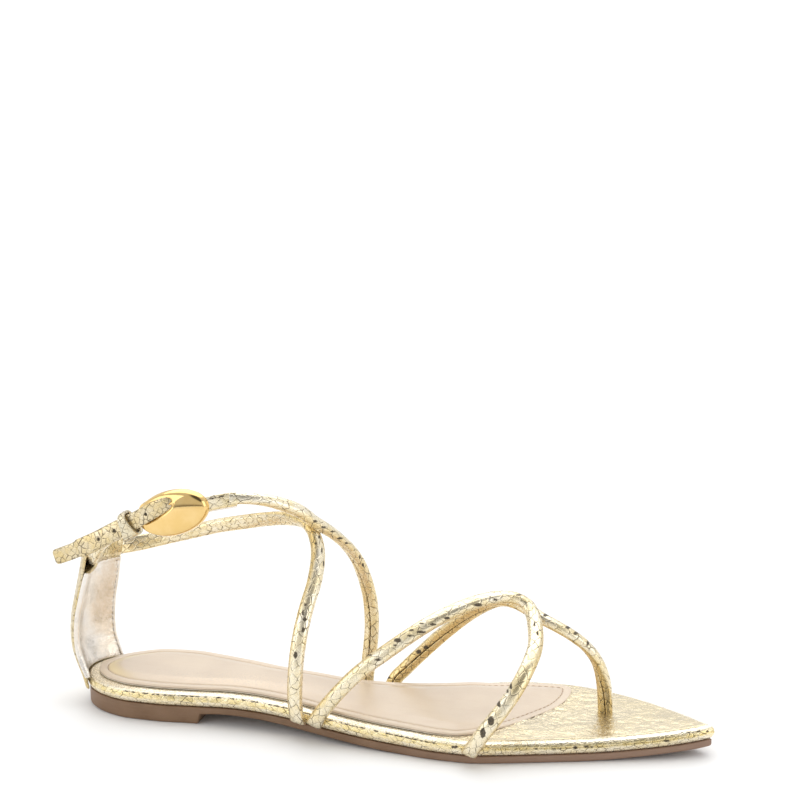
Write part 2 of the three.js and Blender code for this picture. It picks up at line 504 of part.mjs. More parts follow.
// domed oval plate; the dome is lower where the strap turns back over the frame's end
function dome(a, b, height, foot, base) {
  const rings = [1, 0.985, 0.93, 0.82, 0.66, 0.46, 0.24], around = 36, points = [], faces = [];
  points.push(onBuckle(0, 0, base));
  for (let i = 0; i < around; i++) {
    const t = i / around * 2 * Math.PI;
    points.push(onBuckle(a * Math.cos(t), b * Math.sin(t), base));
  }
  for (const rho of rings)
    for (let i = 0; i < around; i++) {
      const t = i / around * 2 * Math.PI, u = a * rho * Math.cos(t), v = b * rho * Math.sin(t);
      const low = THREE.MathUtils.smoothstep(u, -a, -0.1 * a) * 0.55 + 0.45;
      points.push(onBuckle(u, v, foot + (height - foot) * low * Math.sqrt(Math.max(0, 1 - rho * rho))));
    }
  const top = points.length;
  const low = THREE.MathUtils.smoothstep(0, -a, -0.1 * a) * 0.55 + 0.45;
  points.push(onBuckle(0, 0, foot + (height - foot) * low));
  const at = (r, i) => 1 + r * around + i % around;
  for (let i = 0; i < around; i++) {
    faces.push([0, at(0, i + 1), at(0, i)]);
    for (let r = 0; r < rings.length; r++) {
      faces.push([at(r, i), at(r, i + 1), at(r + 1, i + 1)], [at(r, i), at(r + 1, i + 1), at(r + 1, i)]);
    }
    faces.push([at(rings.length, i), at(rings.length, i + 1), top]);
  }
  return bodyFrom(points, faces);
}
function rod(radius, from, to) {                                    // round bar between two points
  const a = new THREE.Vector3(...from), b = new THREE.Vector3(...to);
  const g = new THREE.CylinderGeometry(radius, radius, a.distanceTo(b), 14);
  g.applyQuaternion(new THREE.Quaternion().setFromUnitVectors(new THREE.Vector3(0, 1, 0), b.clone().sub(a).normalize()));
  g.translate((a.x + b.x) / 2, (a.y + b.y) / 2, (a.z + b.z) / 2);
  g.deleteAttribute('normal'); g.deleteAttribute('uv');
  const m = mergeVertices(g, 1e-4), p = m.attributes.position, pts = [], fs = [];
  for (let i = 0; i < p.count; i++) pts.push([p.getX(i), p.getY(i), p.getZ(i)]);
  for (let i = 0; i < m.index.count; i += 3) fs.push([m.index.getX(i), m.index.getX(i + 1), m.index.getX(i + 2)]);
  return bodyFrom(pts, fs);
}
// where the strap passes: a slot slanting with it, round at its inner end
const SLOT = [
  { u: -12.4, v: -1.4 }, { u: -5.0, v: 0.3 }, { u: -1.0, v: 1.5 }, { u: 1.8, v: 3.1 }, { u: 2.6, v: 4.7 },
  { u: 2.0, v: 6.2 }, { u: 0.2, v: 6.8 }, { u: -7.5, v: 6.1 }, { u: -12.4, v: 5.4 },
];
function slotBody(n0, n1) {
  const k = SLOT.length, pts = [], faces = [];
  for (const n of [n0, n1]) for (const { u, v } of SLOT) pts.push(onBuckle(u, v, n));
  for (let i = 0; i < k; i++) {
    const j = (i + 1) % k;
    faces.push([i, j, k + j], [i, k + j, k + i]);
    if (i > 0 && i < k - 1) faces.push([0, i + 1, i], [k, k + i, k + i + 1]);
  }
  return bodyFrom(pts, faces);
}

// ---- keeper ------------------------------------------------------------------------
function keeperBody() {
  const at = { x: 29.6, y: -25.7, z: 83.7 };
  const along = new THREE.Vector3(0.86, 0, 0.51).normalize(), out = new THREE.Vector3(0, -1, 0);
  const side = new THREE.Vector3().crossVectors(along, out).normalize();
  const loop = (w, t) => {
    const shape = [], k = 20;
    for (let i = 0; i < k; i++) {
      const a = i / k * 2 * Math.PI, c = Math.cos(a), s = Math.sin(a);
      shape.push([Math.sign(c) * Math.pow(Math.abs(c), 0.55) * w / 2, Math.sign(s) * Math.pow(Math.abs(s), 0.55) * t / 2]);
    }
    return shape;
  };
  const outer = loop(10.6, 9.2), inner = loop(8.6, 7.2), k = outer.length, points = [], faces = [];
  const width = [{ l: -1.5, low: -1.5 }, { l: 1.5, low: 0.9 }];   // the band widens towards its lower side
  for (const { l, low } of width)
    for (const profile of [outer, inner])
      for (const [s, n] of profile) {
        const p = new THREE.Vector3(at.x, at.y, at.z).addScaledVector(along, l + low * (0.5 + s / 10.6)).addScaledVector(side, s).addScaledVector(out, n);
        points.push([p.x, p.y, p.z]);
      }
  for (let i = 0; i < k; i++) {
    const j = (i + 1) % k, o0 = i, o1 = j, i0 = k + i, i1 = k + j, O0 = 2 * k + i, O1 = 2 * k + j, I0 = 3 * k + i, I1 = 3 * k + j;
    faces.push([o0, O0, o1], [o1, O0, O1]);
    faces.push([i0, i1, I0], [i1, I1, I0]);
    faces.push([o0, o1, i0], [o1, i1, i0]);
    faces.push([O0, I0, O1], [O1, I0, I1]);
  }
  return bodyFrom(points, faces);
}

// ---- the pieces ----------------------------------------------------------------------
const rim = outlineLoop(OUTLINE, [55.4, 56.6]);
let outsole = layered(rim, [
  { inset: OUTSOLE_INSET + 1.0, z: (x) => underZ(x) },
  { inset: OUTSOLE_INSET + 0.25, z: (x) => underZ(x) + 0.6 },
  { inset: OUTSOLE_INSET, z: (x) => underZ(x) + 1.4 },
  { inset: OUTSOLE_INSET, z: (x) => jointZ(x) - GAP / 2 },
]);
let midsole = layered(rim, [
  { inset: 1.7, z: (x) => jointZ(x) + GAP / 2 },
  { inset: 0.5, z: (x) => jointZ(x) + 1.3 },
  { inset: 0, z: (x) => jointZ(x) + 2.9 },
  { inset: 0.5, z: (x) => jointZ(x) + 4.4 },
  { inset: 1.6, z: (x) => jointZ(x) + 5.25 },
  { inset: 3.3, z: (x) => jointZ(x) + RIM_HEIGHT },
]);
const sockLoop = outlineLoop(SOCK);
const insole = layered(sockLoop, [
  { inset: 0.3, z: (x) => jointZ(x) + RIM_HEIGHT + GAP },
  { inset: 0, z: (x) => jointZ(x) + RIM_HEIGHT + GAP + 1.0 },
  { inset: 1.3, z: (x) => jointZ(x) + RIM_HEIGHT + GAP + SOCK_THICK },
  { inset: 5.0, z: (x) => jointZ(x) + RIM_HEIGHT + GAP + SOCK_THICK + SOCK_CROWN },
]);

const ankleRows = [ANKLE_OUTER, ANKLE_INNER, TAIL, TURN];
const toeRows = [TOE_INNER, TOE_REAR, TOE_FRONT];
const barAt = { u: 8.0, n: 0.9 };
const bar = rod(BAR_RADIUS, onBuckle(barAt.u, -BUCKLE_B + 1.2, barAt.n), onBuckle(barAt.u, BUCKLE_B - 1.2, barAt.n));
const barBore = rod(BAR_RADIUS + GAP, onBuckle(barAt.u, -9, barAt.n), onBuckle(barAt.u, 9, barAt.n));

const ankleStraps = join(ankleRows.map((r) => strap(r))).subtract(barBore);
const toeStraps = join(toeRows.map((r) => strap(r)));
const ankleRoom = join(ankleRows.map((r) => strap(r, { grow: 0.35 })));
const toeRoom = join(toeRows.map((r) => strap(r, { grow: 0.35 })));

outsole = outsole.subtract(toeRoom);
midsole = midsole.subtract(counterBody(0.32)).subtract(ankleRoom).subtract(toeRoom);
const counter = counterBody().subtract(ankleRoom);
const buckle = dome(BUCKLE_A, BUCKLE_B, BUCKLE_DOME, 1.3, 0)
  .subtract(dome(BUCKLE_A - 1.7, BUCKLE_B - 1.5, BUCKLE_DOME - BUCKLE_SHELL, 0.2, -0.3))
  .subtract(slotBody(-1, 8))
  .subtract(ankleRoom)
  .add(bar);
const keeper = keeperBody().subtract(ankleRoom);

// ---- scene graph ---------------------------------------------------------------------
const leather = { color: 0xd9c48a, roughness: 0.35, metalness: 0.8 };
const pieces = [
  { name: 'outsole', solid: outsole, look: { color: 0x7d5f46, roughness: 0.6, metalness: 0 } },
  { name: 'midsole', solid: midsole, look: leather },
  { name: 'insole', solid: insole, look: { color: 0xc9a587, roughness: 0.45, metalness: 0 } },
  { name: 'heel_counter', solid: counter, look: leather },
  { name: 'ankle_straps', solid: ankleStraps, look: leather },
  { name: 'forefoot_straps', solid: toeStraps, look: leather },
  { name: 'strap_keeper', solid: keeper, look: leather },
  { name: 'buckle_frame', solid: buckle, look: { color: 0xd6a848, roughness: 0.12, metalness: 1 } },
];
const group = new THREE.Group();
const all = new THREE.Box3();
const meshes = pieces.map(({ name, solid, look }) => {
  const mesh = new THREE.Mesh(geometryFrom(solid), new THREE.MeshStandardMaterial(look));
  mesh.name = name;
  mesh.geometry.computeBoundingBox();
  all.union(mesh.geometry.boundingBox);
  return mesh;
});
// the origin is the middle of the shoe's box, on the ground
for (const mesh of meshes) {
  mesh.position.set(-(all.min.x + all.max.x) / 2, -(all.min.y + all.max.y) / 2, -all.min.z);
  group.add(mesh);
}

export default group;
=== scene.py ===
import math

import bpy
import numpy as np
from mathutils import Matrix, Vector
from mathutils.geometry import delaunay_2d_cdt


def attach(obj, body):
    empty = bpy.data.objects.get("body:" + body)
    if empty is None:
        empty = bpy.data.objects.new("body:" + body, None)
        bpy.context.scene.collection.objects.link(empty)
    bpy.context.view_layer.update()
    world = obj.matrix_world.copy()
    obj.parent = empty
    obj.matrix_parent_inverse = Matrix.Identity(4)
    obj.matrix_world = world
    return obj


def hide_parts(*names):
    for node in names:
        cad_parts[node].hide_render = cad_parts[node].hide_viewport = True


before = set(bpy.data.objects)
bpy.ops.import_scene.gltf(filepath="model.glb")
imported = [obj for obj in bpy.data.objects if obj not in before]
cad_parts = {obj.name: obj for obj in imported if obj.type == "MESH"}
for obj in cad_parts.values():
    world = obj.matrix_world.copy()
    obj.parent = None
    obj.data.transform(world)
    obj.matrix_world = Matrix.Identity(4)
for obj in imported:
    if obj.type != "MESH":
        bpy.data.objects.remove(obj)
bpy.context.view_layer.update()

# Everything below is laid out in millimetres, heel back at x = 0, +y the inner side, and moved to the frame's
# own place when a mesh is made.
OFFSET = np.array([-128.3628, 1.5532, 0.0])


def placed(p):
    return (np.asarray(p, float) + OFFSET) / 1000.0


# ---- camera -------------------------------------------------------------------------------------
TURN, DOWN = math.radians(14.58), math.radians(12.62)
back = Vector((math.sin(TURN) * math.cos(DOWN), -math.cos(TURN) * math.cos(DOWN), math.sin(DOWN)))
right = Vector((math.cos(TURN), math.sin(TURN), 0))
up = back.cross(right)
eye = Vector(placed((348.05, -818.61, 324.57)))
cam_data = bpy.data.cameras.new("camera")
cam_data.sensor_width = 36.0
cam_data.lens = 98.69
cam_data.clip_start, cam_data.clip_end = 0.05, 200
camera = bpy.data.objects.new("camera", cam_data)
bpy.context.scene.collection.objects.link(camera)
camera.matrix_world = Matrix((
    (right.x, up.x, back.x, eye.x),
    (right.y, up.y, back.y, eye.y),
    (right.z, up.z, back.z, eye.z),
    (0, 0, 0, 1)))
bpy.context.scene.camera = camera

# ---- sizes and tables of the shoe ------------------------------------------------------------------
LENGTH = 263.2
GAP = 0.3
RIM_HEIGHT = 5.6
OUTSOLE_INSET = 1.0
COUNTER_RADIUS, COUNTER_Y = 20.0, -0.3
TUNNEL_SEAM, TUNNEL_TOP = 57.0, 67.4

OUTLINE = [(0, 0, 0), (1.3, -6.6, 6.9), (5.2, -13.2, 13.9), (13.1, -19.9, 21.6), (26.2, -24.4, 28.4),
           (39.3, -24.9, 29.4), (52.4, -23.7, 27.0), (65, -23.3, 22.8), (78.6, -24.0, 18.5), (91.5, -25.8, 16.7),
           (104.8, -28.3, 16.5), (118, -31.0, 17.8), (131, -33.2, 20.7), (144, -34.9, 25.1), (157.2, -36.9, 30.7),
           (170.3, -37.4, 36.2), (183.4, -34.4, 39.6), (196.5, -30.2, 40.2), (209.6, -25.9, 37.9),
           (222.7, -21.6, 32.4), (235.8, -17.0, 23.8), (248.9, -11.8, 12.8), (257.6, -7.4, 4.0),
           (261.8, -4.4, -0.4), (LENGTH, -2.3, -2.3)]
JOINT = [(0, 7.3), (50, 7.3), (72, 7.9), (92, 7.3), (110, 5.8), (127, 4.5), (144, 3.65), (165, 3.25),
         (190, 3.2), (215, 3.4), (240, 4.7), (262, 6.7)]
UNDER = [(0, 0), (55.4, 0), (56.6, 4.1), (65, 4.8), (73, 4.9), (83, 4.6), (92, 4.0), (110, 2.4), (127, 1.0),
         (138, 0.3), (146, 0), (212, 0), (225, 0.5), (240, 1.6), (252, 2.7), (262, 3.5)]
SOCK = [(5.2, 0, 0), (6.4, -5.6, 5.8), (9.5, -10.6, 11.6), (16, -15.8, 18.0), (26.2, -19.4, 23.6),
        (39.3, -20.0, 24.8), (52.4, -18.9, 22.4), (65, -18.4, 18.2), (78.6, -19.0, 13.9), (91.5, -20.7, 12.1),
        (104.8, -23.2, 11.9), (118, -26.0, 13.2), (131, -28.2, 16.1), (144, -30.0, 20.5), (157.2, -32.0, 26.0),
        (164.5, -32.2, 29.2), (171.0, -29.6, 31.6), (180.3, -20.8, 34.0), (188.0, -8.2, 35.2),
        (194.0, 1.6, 35.5), (198.2, 9.8, 34.4), (200.2, 17.5, 31.6), (200.9, 25.0, 25.0)]
COUNTER_BACK = [(6, 0.9), (9, 0.2), (13.5, -1.2), (18, -3.0), (24, -4.7), (30, -5.2), (37, -4.7), (45, -3.1),
                (52, -1.5), (60, 0.2), (68, 1.6)]
COUNTER_SWEEP = [(6, -43, 56), (14, -43, 58), (22, -42, 59), (32, -42, 60), (45, -42.5, 59), (58, -43, 56),
                 (68, -43, 54)]
CORE = [(46, -2, 120), (50, -2, 88), (62, -2, 66), (84, -3, 44), (112, -4, 30), (150, -4, 22), (190, 0, 16),
        (232, 6, 9)]

# strap centre lines: x, y, z, width, thickness, flat (0 rolled, 1 flat)
W, T = 6.0, 4.5
ANKLE_OUTER = [
    (100.9, -22.5, 8.35, 6.6, 2.2, 1), (100.8, -27.0, 8.3, 6.6, 2.3, 1), (100.6, -29.6, 8.9, 6.4, 3.0, .5),
    (100.3, -30.9, 12.6, W, T, 0), (100.0, -31.3, 17.8, W, T, 0), (100.1, -31.0, 26.1, W, T, 0),
    (100.5, -30.0, 34.2, W, T, 0), (101.1, -28.0, 41.9, W, T, 0), (102.0, -24.0, 50.2, W, T, 0),
    (102.7, -20.0, 55.7, W, T, 0), (103.4, -15.0, 61.1, W, T, 0), (103.4, -10.4, 66.2, W, T, 0),
    (102.8, -6.4, 70.6, W, T, 0), (101.4, -3.2, 74.8, W, T, 0), (98.8, -0.2, 78.6, W, T, 0),
    (94.8, 3.0, 80.9, W, T, 0), (89.3, 6.3, 81.3, W, T, 0), (82.9, 10.0, 80.4, W, T, 0),
    (73.8, 14.2, 78.2, W, T, 0), (61.3, 18.4, 74.7, W, T, 0), (51.7, 20.6, 72.1, W, T, 0),
    (42.3, 21.8, 69.2, W, T, 0), (33.1, 22.2, 66.4, W, T, 0), (24.5, 21.4, 64.2, 6.2, 4.0, .2),
    (17.2, 19.0, 62.7, 6.6, 3.2, .6), (10.9, 14.8, 62.1, 6.8, 2.7, 1), (5.2, 8.4, 62.2, 6.8, 2.6, 1),
    (2.8, -0.3, 62.8, 6.8, 2.6, 1), (5.0, -9.2, 63.8, 6.8, 2.6, 1), (8.6, -14.2, 65.6, 6.8, 2.6, 1),
    (12.4, -18.2, 71.0, 6.8, 2.6, 1), (17.2, -21.6, 75.8, 6.8, 2.6, 1), (24.0, -23.6, 80.8, 6.8, 2.6, 1),
    (31.6, -24.0, 85.0, 6.8, 2.6, 1), (39.8, -24.0, 89.6, 6.8, 2.4, 1), (46.5, -24.0, 92.6, 6.8, 2.3, 1),
    (50.2, -24.6, 93.7, 6.8, 2.2, 1)]
ANKLE_INNER = [
    (115.6, 10.5, 7.0, 6.6, 2.2, 1), (115.6, 15.0, 6.95, 6.6, 2.3, 1), (115.6, 18.0, 7.8, 6.4, 3.0, .5),
    (115.8, 19.7, 12.4, W, T, 0), (116.5, 20.8, 20.2, W, T, 0), (117.1, 21.5, 27.2, W, T, 0),
    (117.2, 22.5, 35.4, W, T, 0), (116.6, 22.5, 43.6, W, T, 0), (115.7, 21.4, 50.0, W, T, 0),
    (114.5, 19.0, 56.7, W, T, 0), (113.0, 15.5, 63.3, W, T, 0), (110.4, 10.5, 70.1, W, T, 0),
    (105.6, 4.4, 77.3, W, T, 0), (100.2, -1.4, 83.0, W, T, 0), (95.6, -6.0, 88.3, W, T, 0),
    (89.6, -11.2, 92.3, 5.4, 4.3, 0), (83.6, -15.6, 94.8, 4.8, 4.2, 0), (77.6, -19.0, 95.9, 4.5, 4.0, .1),
    (72.6, -21.1, 96.1, 4.9, 3.9, .2), (70.8, -21.8, 96.0, 5.6, 4.1, .3)]
BAR_TAB = [
    (73.4, -20.8, 96.0, 5.2, 1.4, 1), (70.6, -21.9, 95.7, 5.6, 1.5, 1), (64.9, -23.6, 94.8, 5.8, 1.5, 1),
    (59.4, -24.9, 93.5, 5.8, 1.5, 1), (54.6, -25.2, 92.4, 6.0, 1.5, 1)]
TAIL = [
    (-3.6, -24.2, 67.0, 6.0, 1.9, 1), (-0.6, -24.9, 68.3, 6.4, 2.1, 1), (4.6, -25.9, 70.6, 6.4, 2.2, 1),
    (7.0, -26.2, 71.8, 6.5, 2.2, 1), (8.2, -26.3, 72.4, 7.5, 2.3, 1), (10.4, -26.5, 73.4, 7.6, 2.3, 1),
    (16.3, -26.8, 76.5, 7.6, 2.2, 1), (22.4, -27.0, 80.0, 7.6, 2.2, 1), (28.4, -27.2, 83.5, 7.2, 2.2, 1),
    (34.6, -28.1, 87.1, 6.8, 2.2, 1), (41.0, -28.9, 91.1, 6.6, 2.1, 1), (46.5, -28.8, 93.9, 6.1, 2.0, 1),
    (49.4, -27.6, 95.0, 5.2, 1.9, 1), (50.6, -25.4, 95.2, 5.0, 1.9, 1)]
TOE_INNER = [
    (125.9, 11.4, 6.05, 6.6, 2.2, 1), (125.9, 16.8, 6.0, 6.6, 2.3, 1), (126.1, 20.2, 6.9, 6.4, 3.0, .5),
    (127.8, 21.9, 11.0, W, T, 0), (131.6, 22.6, 15.2, W, T, 0), (136.2, 22.8, 20.2, W, T, 0),
    (144.6, 22.0, 29.0, W, T, 0), (152.6, 20.1, 36.8, W, T, 0), (159.6, 17.5, 43.0, W, T, 0),
    (167.0, 13.8, 48.6, W, T, 0), (174.2, 9.6, 52.4, W, T, 0), (181.2, 6.0, 53.2, W, T, 0),
    (187.4, 3.8, 51.4, W, T, 0), (193.0, 3.1, 48.5, W, T, 0), (198.7, 3.5, 45.7, W, T, 0),
    (204.4, 4.5, 42.3, W, T, 0), (209.7, 6.0, 38.0, W, T, 0), (213.6, 7.4, 33.0, W, T, 0),
    (216.1, 8.6, 27.1, W, T, 0), (217.4, 9.3, 20.6, W, T, 0), (217.8, 9.7, 14.1, W, T, 0),
    (217.9, 9.7, 9.0, 5.8, 4.2, .2), (217.9, 9.7, 5.4, 5.6, 3.6, .5)]
TOE_OUTER = [   # outer sole edge, rear, up to the toe crossing, over the thong and down to the edge again
    (107.6, -22.6, 7.7, 6.6, 2.2, 1), (107.6, -27.6, 7.6, 6.6, 2.3, 1), (107.9, -30.4, 8.5, 6.4, 3.0, .5),
    (110.6, -31.6, 13.0, W, T, 0), (114.0, -31.9, 17.6, W, T, 0), (118.2, -32.0, 22.8, W, T, 0),
    (124.0, -31.4, 29.2, W, T, 0), (130.6, -30.0, 35.2, W, T, 0), (136.7, -28.0, 39.9, W, T, 0),
    (143.2, -25.3, 44.7, W, T, 0), (150.6, -21.7, 49.7, W, T, 0), (157.5, -17.6, 53.5, W, T, 0),
    (164.3, -13.2, 56.3, W, T, 0), (170.8, -8.6, 58.1, W, T, 0), (177.1, -4.4, 58.6, W, T, 0),
    (182.8, -1.6, 57.7, 5.8, T, 0), (187.3, -1.2, 55.6, 5.6, 4.3, 0), (190.6, -4.6, 52.3, 5.8, 4.4, 0),
    (193.0, -11.0, 47.9, W, T, 0), (194.3, -17.6, 44.6, W, T, 0), (194.3, -23.2, 41.8, W, T, 0),
    (193.2, -28.8, 38.2, W, T, 0), (191.0, -33.8, 33.2, W, T, 0), (187.3, -37.8, 26.9, W, T, 0),
    (182.9, -40.2, 20.6, W, T, 0), (178.6, -41.0, 14.6, W, T, 0), (175.2, -40.4, 9.2, W, T, 0),
    (173.0, -38.7, 5.7, 6.2, 3.0, .5), (172.2, -35.2, 5.0, 6.2, 2.2, 1), (172.0, -29.4, 5.0, 6.2, 2.0, 1)]


# ---- small tools -----------------------------------------------------------------------------------
class Track:
    """Smooth value through points, without overshoot."""

    def __init__(self, xs, ys):
        self.x, self.y = np.array(xs, float), np.array(ys, float)
        h = np.diff(self.x)
        s = np.diff(self.y) / h
        m = np.zeros(len(self.x))
        m[0], m[-1] = s[0], s[-1]
        for i in range(1, len(self.x) - 1):
            if s[i - 1] * s[i] > 0:
                m[i] = (h[i - 1] + h[i]) * 3 / ((2 * h[i] + h[i - 1]) / s[i - 1] + (h[i] + 2 * h[i - 1]) / s[i])
        self.m = m

    def __call__(self, at):
        at = np.clip(np.asarray(at, float), self.x[0], self.x[-1])
        i = np.clip(np.searchsorted(self.x, at, "right") - 1, 0, len(self.x) - 2)
        h = self.x[i + 1] - self.x[i]
        t = (at - self.x[i]) / h
        return ((2 * t**3 - 3 * t**2 + 1) * self.y[i] + (t**3 - 2 * t**2 + t) * h * self.m[i]
                + (3 * t**2 - 2 * t**3) * self.y[i + 1] + (t**3 - t**2) * h * self.m[i + 1])


def smooth(x, lo, hi):
    t = np.clip((np.asarray(x, float) - lo) / (hi - lo), 0, 1)
    return t * t * (3 - 2 * t)


lattice = np.random.default_rng(11).random((97, 97))


def wave(u, v):
    """Smooth noise from -1 to 1, one bump per unit."""
    u, v = np.broadcast_arrays(np.asarray(u, float), np.asarray(v, float))
    iu, iv = np.floor(u).astype(int), np.floor(v).astype(int)
    fu, fv = u - iu, v - iv
    fu, fv = fu * fu * (3 - 2 * fu), fv * fv * (3 - 2 * fv)
    a, b = lattice[iu % 97, iv % 97], lattice[(iu + 1) % 97, iv % 97]
    c, d = lattice[iu % 97, (iv + 1) % 97], lattice[(iu + 1) % 97, (iv + 1) % 97]
    return 2 * ((a * (1 - fu) + b * fu) * (1 - fv) + (c * (1 - fu) + d * fu) * fv) - 1


def waves(u, v, octaves=3):
    total, size = 0.0, 1.0
    for k in range(octaves):
        total = total + wave(np.asarray(u) * 2**k + 17.3 * k, np.asarray(v) * 2**k + 5.1 * k) * size
        size *= 0.5
    return total / 1.6


def centripetal(points, per=40):
    p = np.array(points, float)
    p = np.vstack([2 * p[0] - p[1], p, 2 * p[-1] - p[-2]])
    out = []
    for i in range(1, len(p) - 2):
        x0, x1, x2, x3 = p[i - 1], p[i], p[i + 1], p[i + 2]
        d0, d1, d2 = (np.linalg.norm(b - a) ** 0.5 for a, b in ((x0, x1), (x1, x2), (x2, x3)))
        t1 = ((x1 - x0) / d0 - (x2 - x0) / (d0 + d1) + (x2 - x1) / d1) * d1
        t2 = ((x2 - x1) / d1 - (x3 - x1) / (d1 + d2) + (x3 - x2) / d2) * d1
        t = np.arange(per)[:, None] / per
        out.append(x1 * (2 * t**3 - 3 * t**2 + 1) + t1 * (t**3 - 2 * t**2 + t)
                   + x2 * (3 * t**2 - 2 * t**3) + t2 * (t**3 - t**2))
    out.append(p[-2][None])
    return np.vstack(out)


def lengths(p):
    return np.concatenate([[0], np.cumsum(np.linalg.norm(np.diff(p, axis=0), axis=1))])


def unit(v):
    return v / np.maximum(np.linalg.norm(v, axis=-1, keepdims=True), 1e-12)


joint_z = Track(*zip(*JOINT))


def under_z(x):
    return np.interp(x, [r[0] for r in UNDER], [r[1] for r in UNDER])


core = centripetal(CORE, 120)


def away(p):
    d = ((p[:, None, :] - core[None]) ** 2).sum(-1)
    q = p - core[d.argmin(1)]
    for _ in range(6):                       # evened out along the strap
        q[1:-1] = (q[:-2] + 2 * q[1:-1] + q[2:]) / 4
    return unit(q)


def build(name, verts, faces, material, points=None, corners=None, stands_for=(),
          stage=False, face_material=None, normals=None):
    """A mesh object. points: values per vertex; corners: (u, v) per face corner, in millimetres."""
    verts = np.asarray(verts, float)
    me = bpy.data.meshes.new(name)
    sizes = np.array([len(f) for f in faces]) if not isinstance(faces, np.ndarray) else np.full(len(faces), faces.shape[1])
    flat = faces.ravel() if isinstance(faces, np.ndarray) else np.concatenate([np.asarray(f) for f in faces])
    starts = np.concatenate([[0], np.cumsum(sizes)[:-1]])
    # faces turned to point out, by the sign of the volume
    i0, i1 = flat[starts], flat[starts + 1]
    i2 = flat[starts + 2]
    vol = np.einsum("ij,ij->i", verts[i0], np.cross(verts[i1], verts[i2]))
    last = starts + sizes - 1
    quad = sizes == 4
    vol[quad] += np.einsum("ij,ij->i", verts[i0[quad]], np.cross(verts[i2[quad]], verts[flat[last[quad]]]))
    order = np.arange(len(flat))
    if vol.sum() < 0 and not stage:
        order = np.concatenate([np.arange(s, s + n)[::-1] for s, n in zip(starts, sizes)])
        flat = flat[order]
    me.vertices.add(len(verts))
    me.vertices.foreach_set("co", placed(verts).astype(np.float32).ravel())
    me.loops.add(len(flat))
    me.loops.foreach_set("vertex_index", flat.astype(np.int32))
    me.polygons.add(len(sizes))
    me.polygons.foreach_set("loop_start", starts.astype(np.int32))
    if face_material is not None:
        me.polygons.foreach_set("material_index", np.asarray(face_material, np.int32))
    me.update(calc_edges=True)
    me.validate()
    me.polygons.foreach_set("use_smooth", np.ones(len(me.polygons), bool))
    for key, value in (points or {}).items():
        a = me.attributes.new(key, "FLOAT", "POINT")
        a.data.foreach_set("value", np.asarray(value, np.float32).ravel())
    if corners is not None:
        a = me.attributes.new("chart", "FLOAT_VECTOR", "CORNER")
        c = np.asarray(corners, float)[order]
        a.data.foreach_set("vector", np.column_stack([c, np.zeros(len(c))]).astype(np.float32).ravel())
    if normals is not None:
        me.normals_split_custom_set_from_vertices(normals.tolist())
    for m in material if isinstance(material, (list, tuple)) else [material]:
        me.materials.append(m.mat)
    o = bpy.data.objects.new(name, me)
    bpy.context.scene.collection.objects.link(o)
    if stage:
        return o
    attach(o, "root")
    for node in stands_for:
        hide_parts(node)
    return o


def grid_faces(n, m, wrap_m=False, wrap_n=False, base=0):
    """Quads of an n by m grid of points."""
    a = np.arange(n if wrap_n else n - 1)[:, None]
    b = np.arange(m if wrap_m else m - 1)[None, :]
    a1, b1 = (a + 1) % n, (b + 1) % m
    q = np.stack([a * m + b, a * m + b1, a1 * m + b1, a1 * m + b], -1) + base
    return q.reshape(-1, 4)


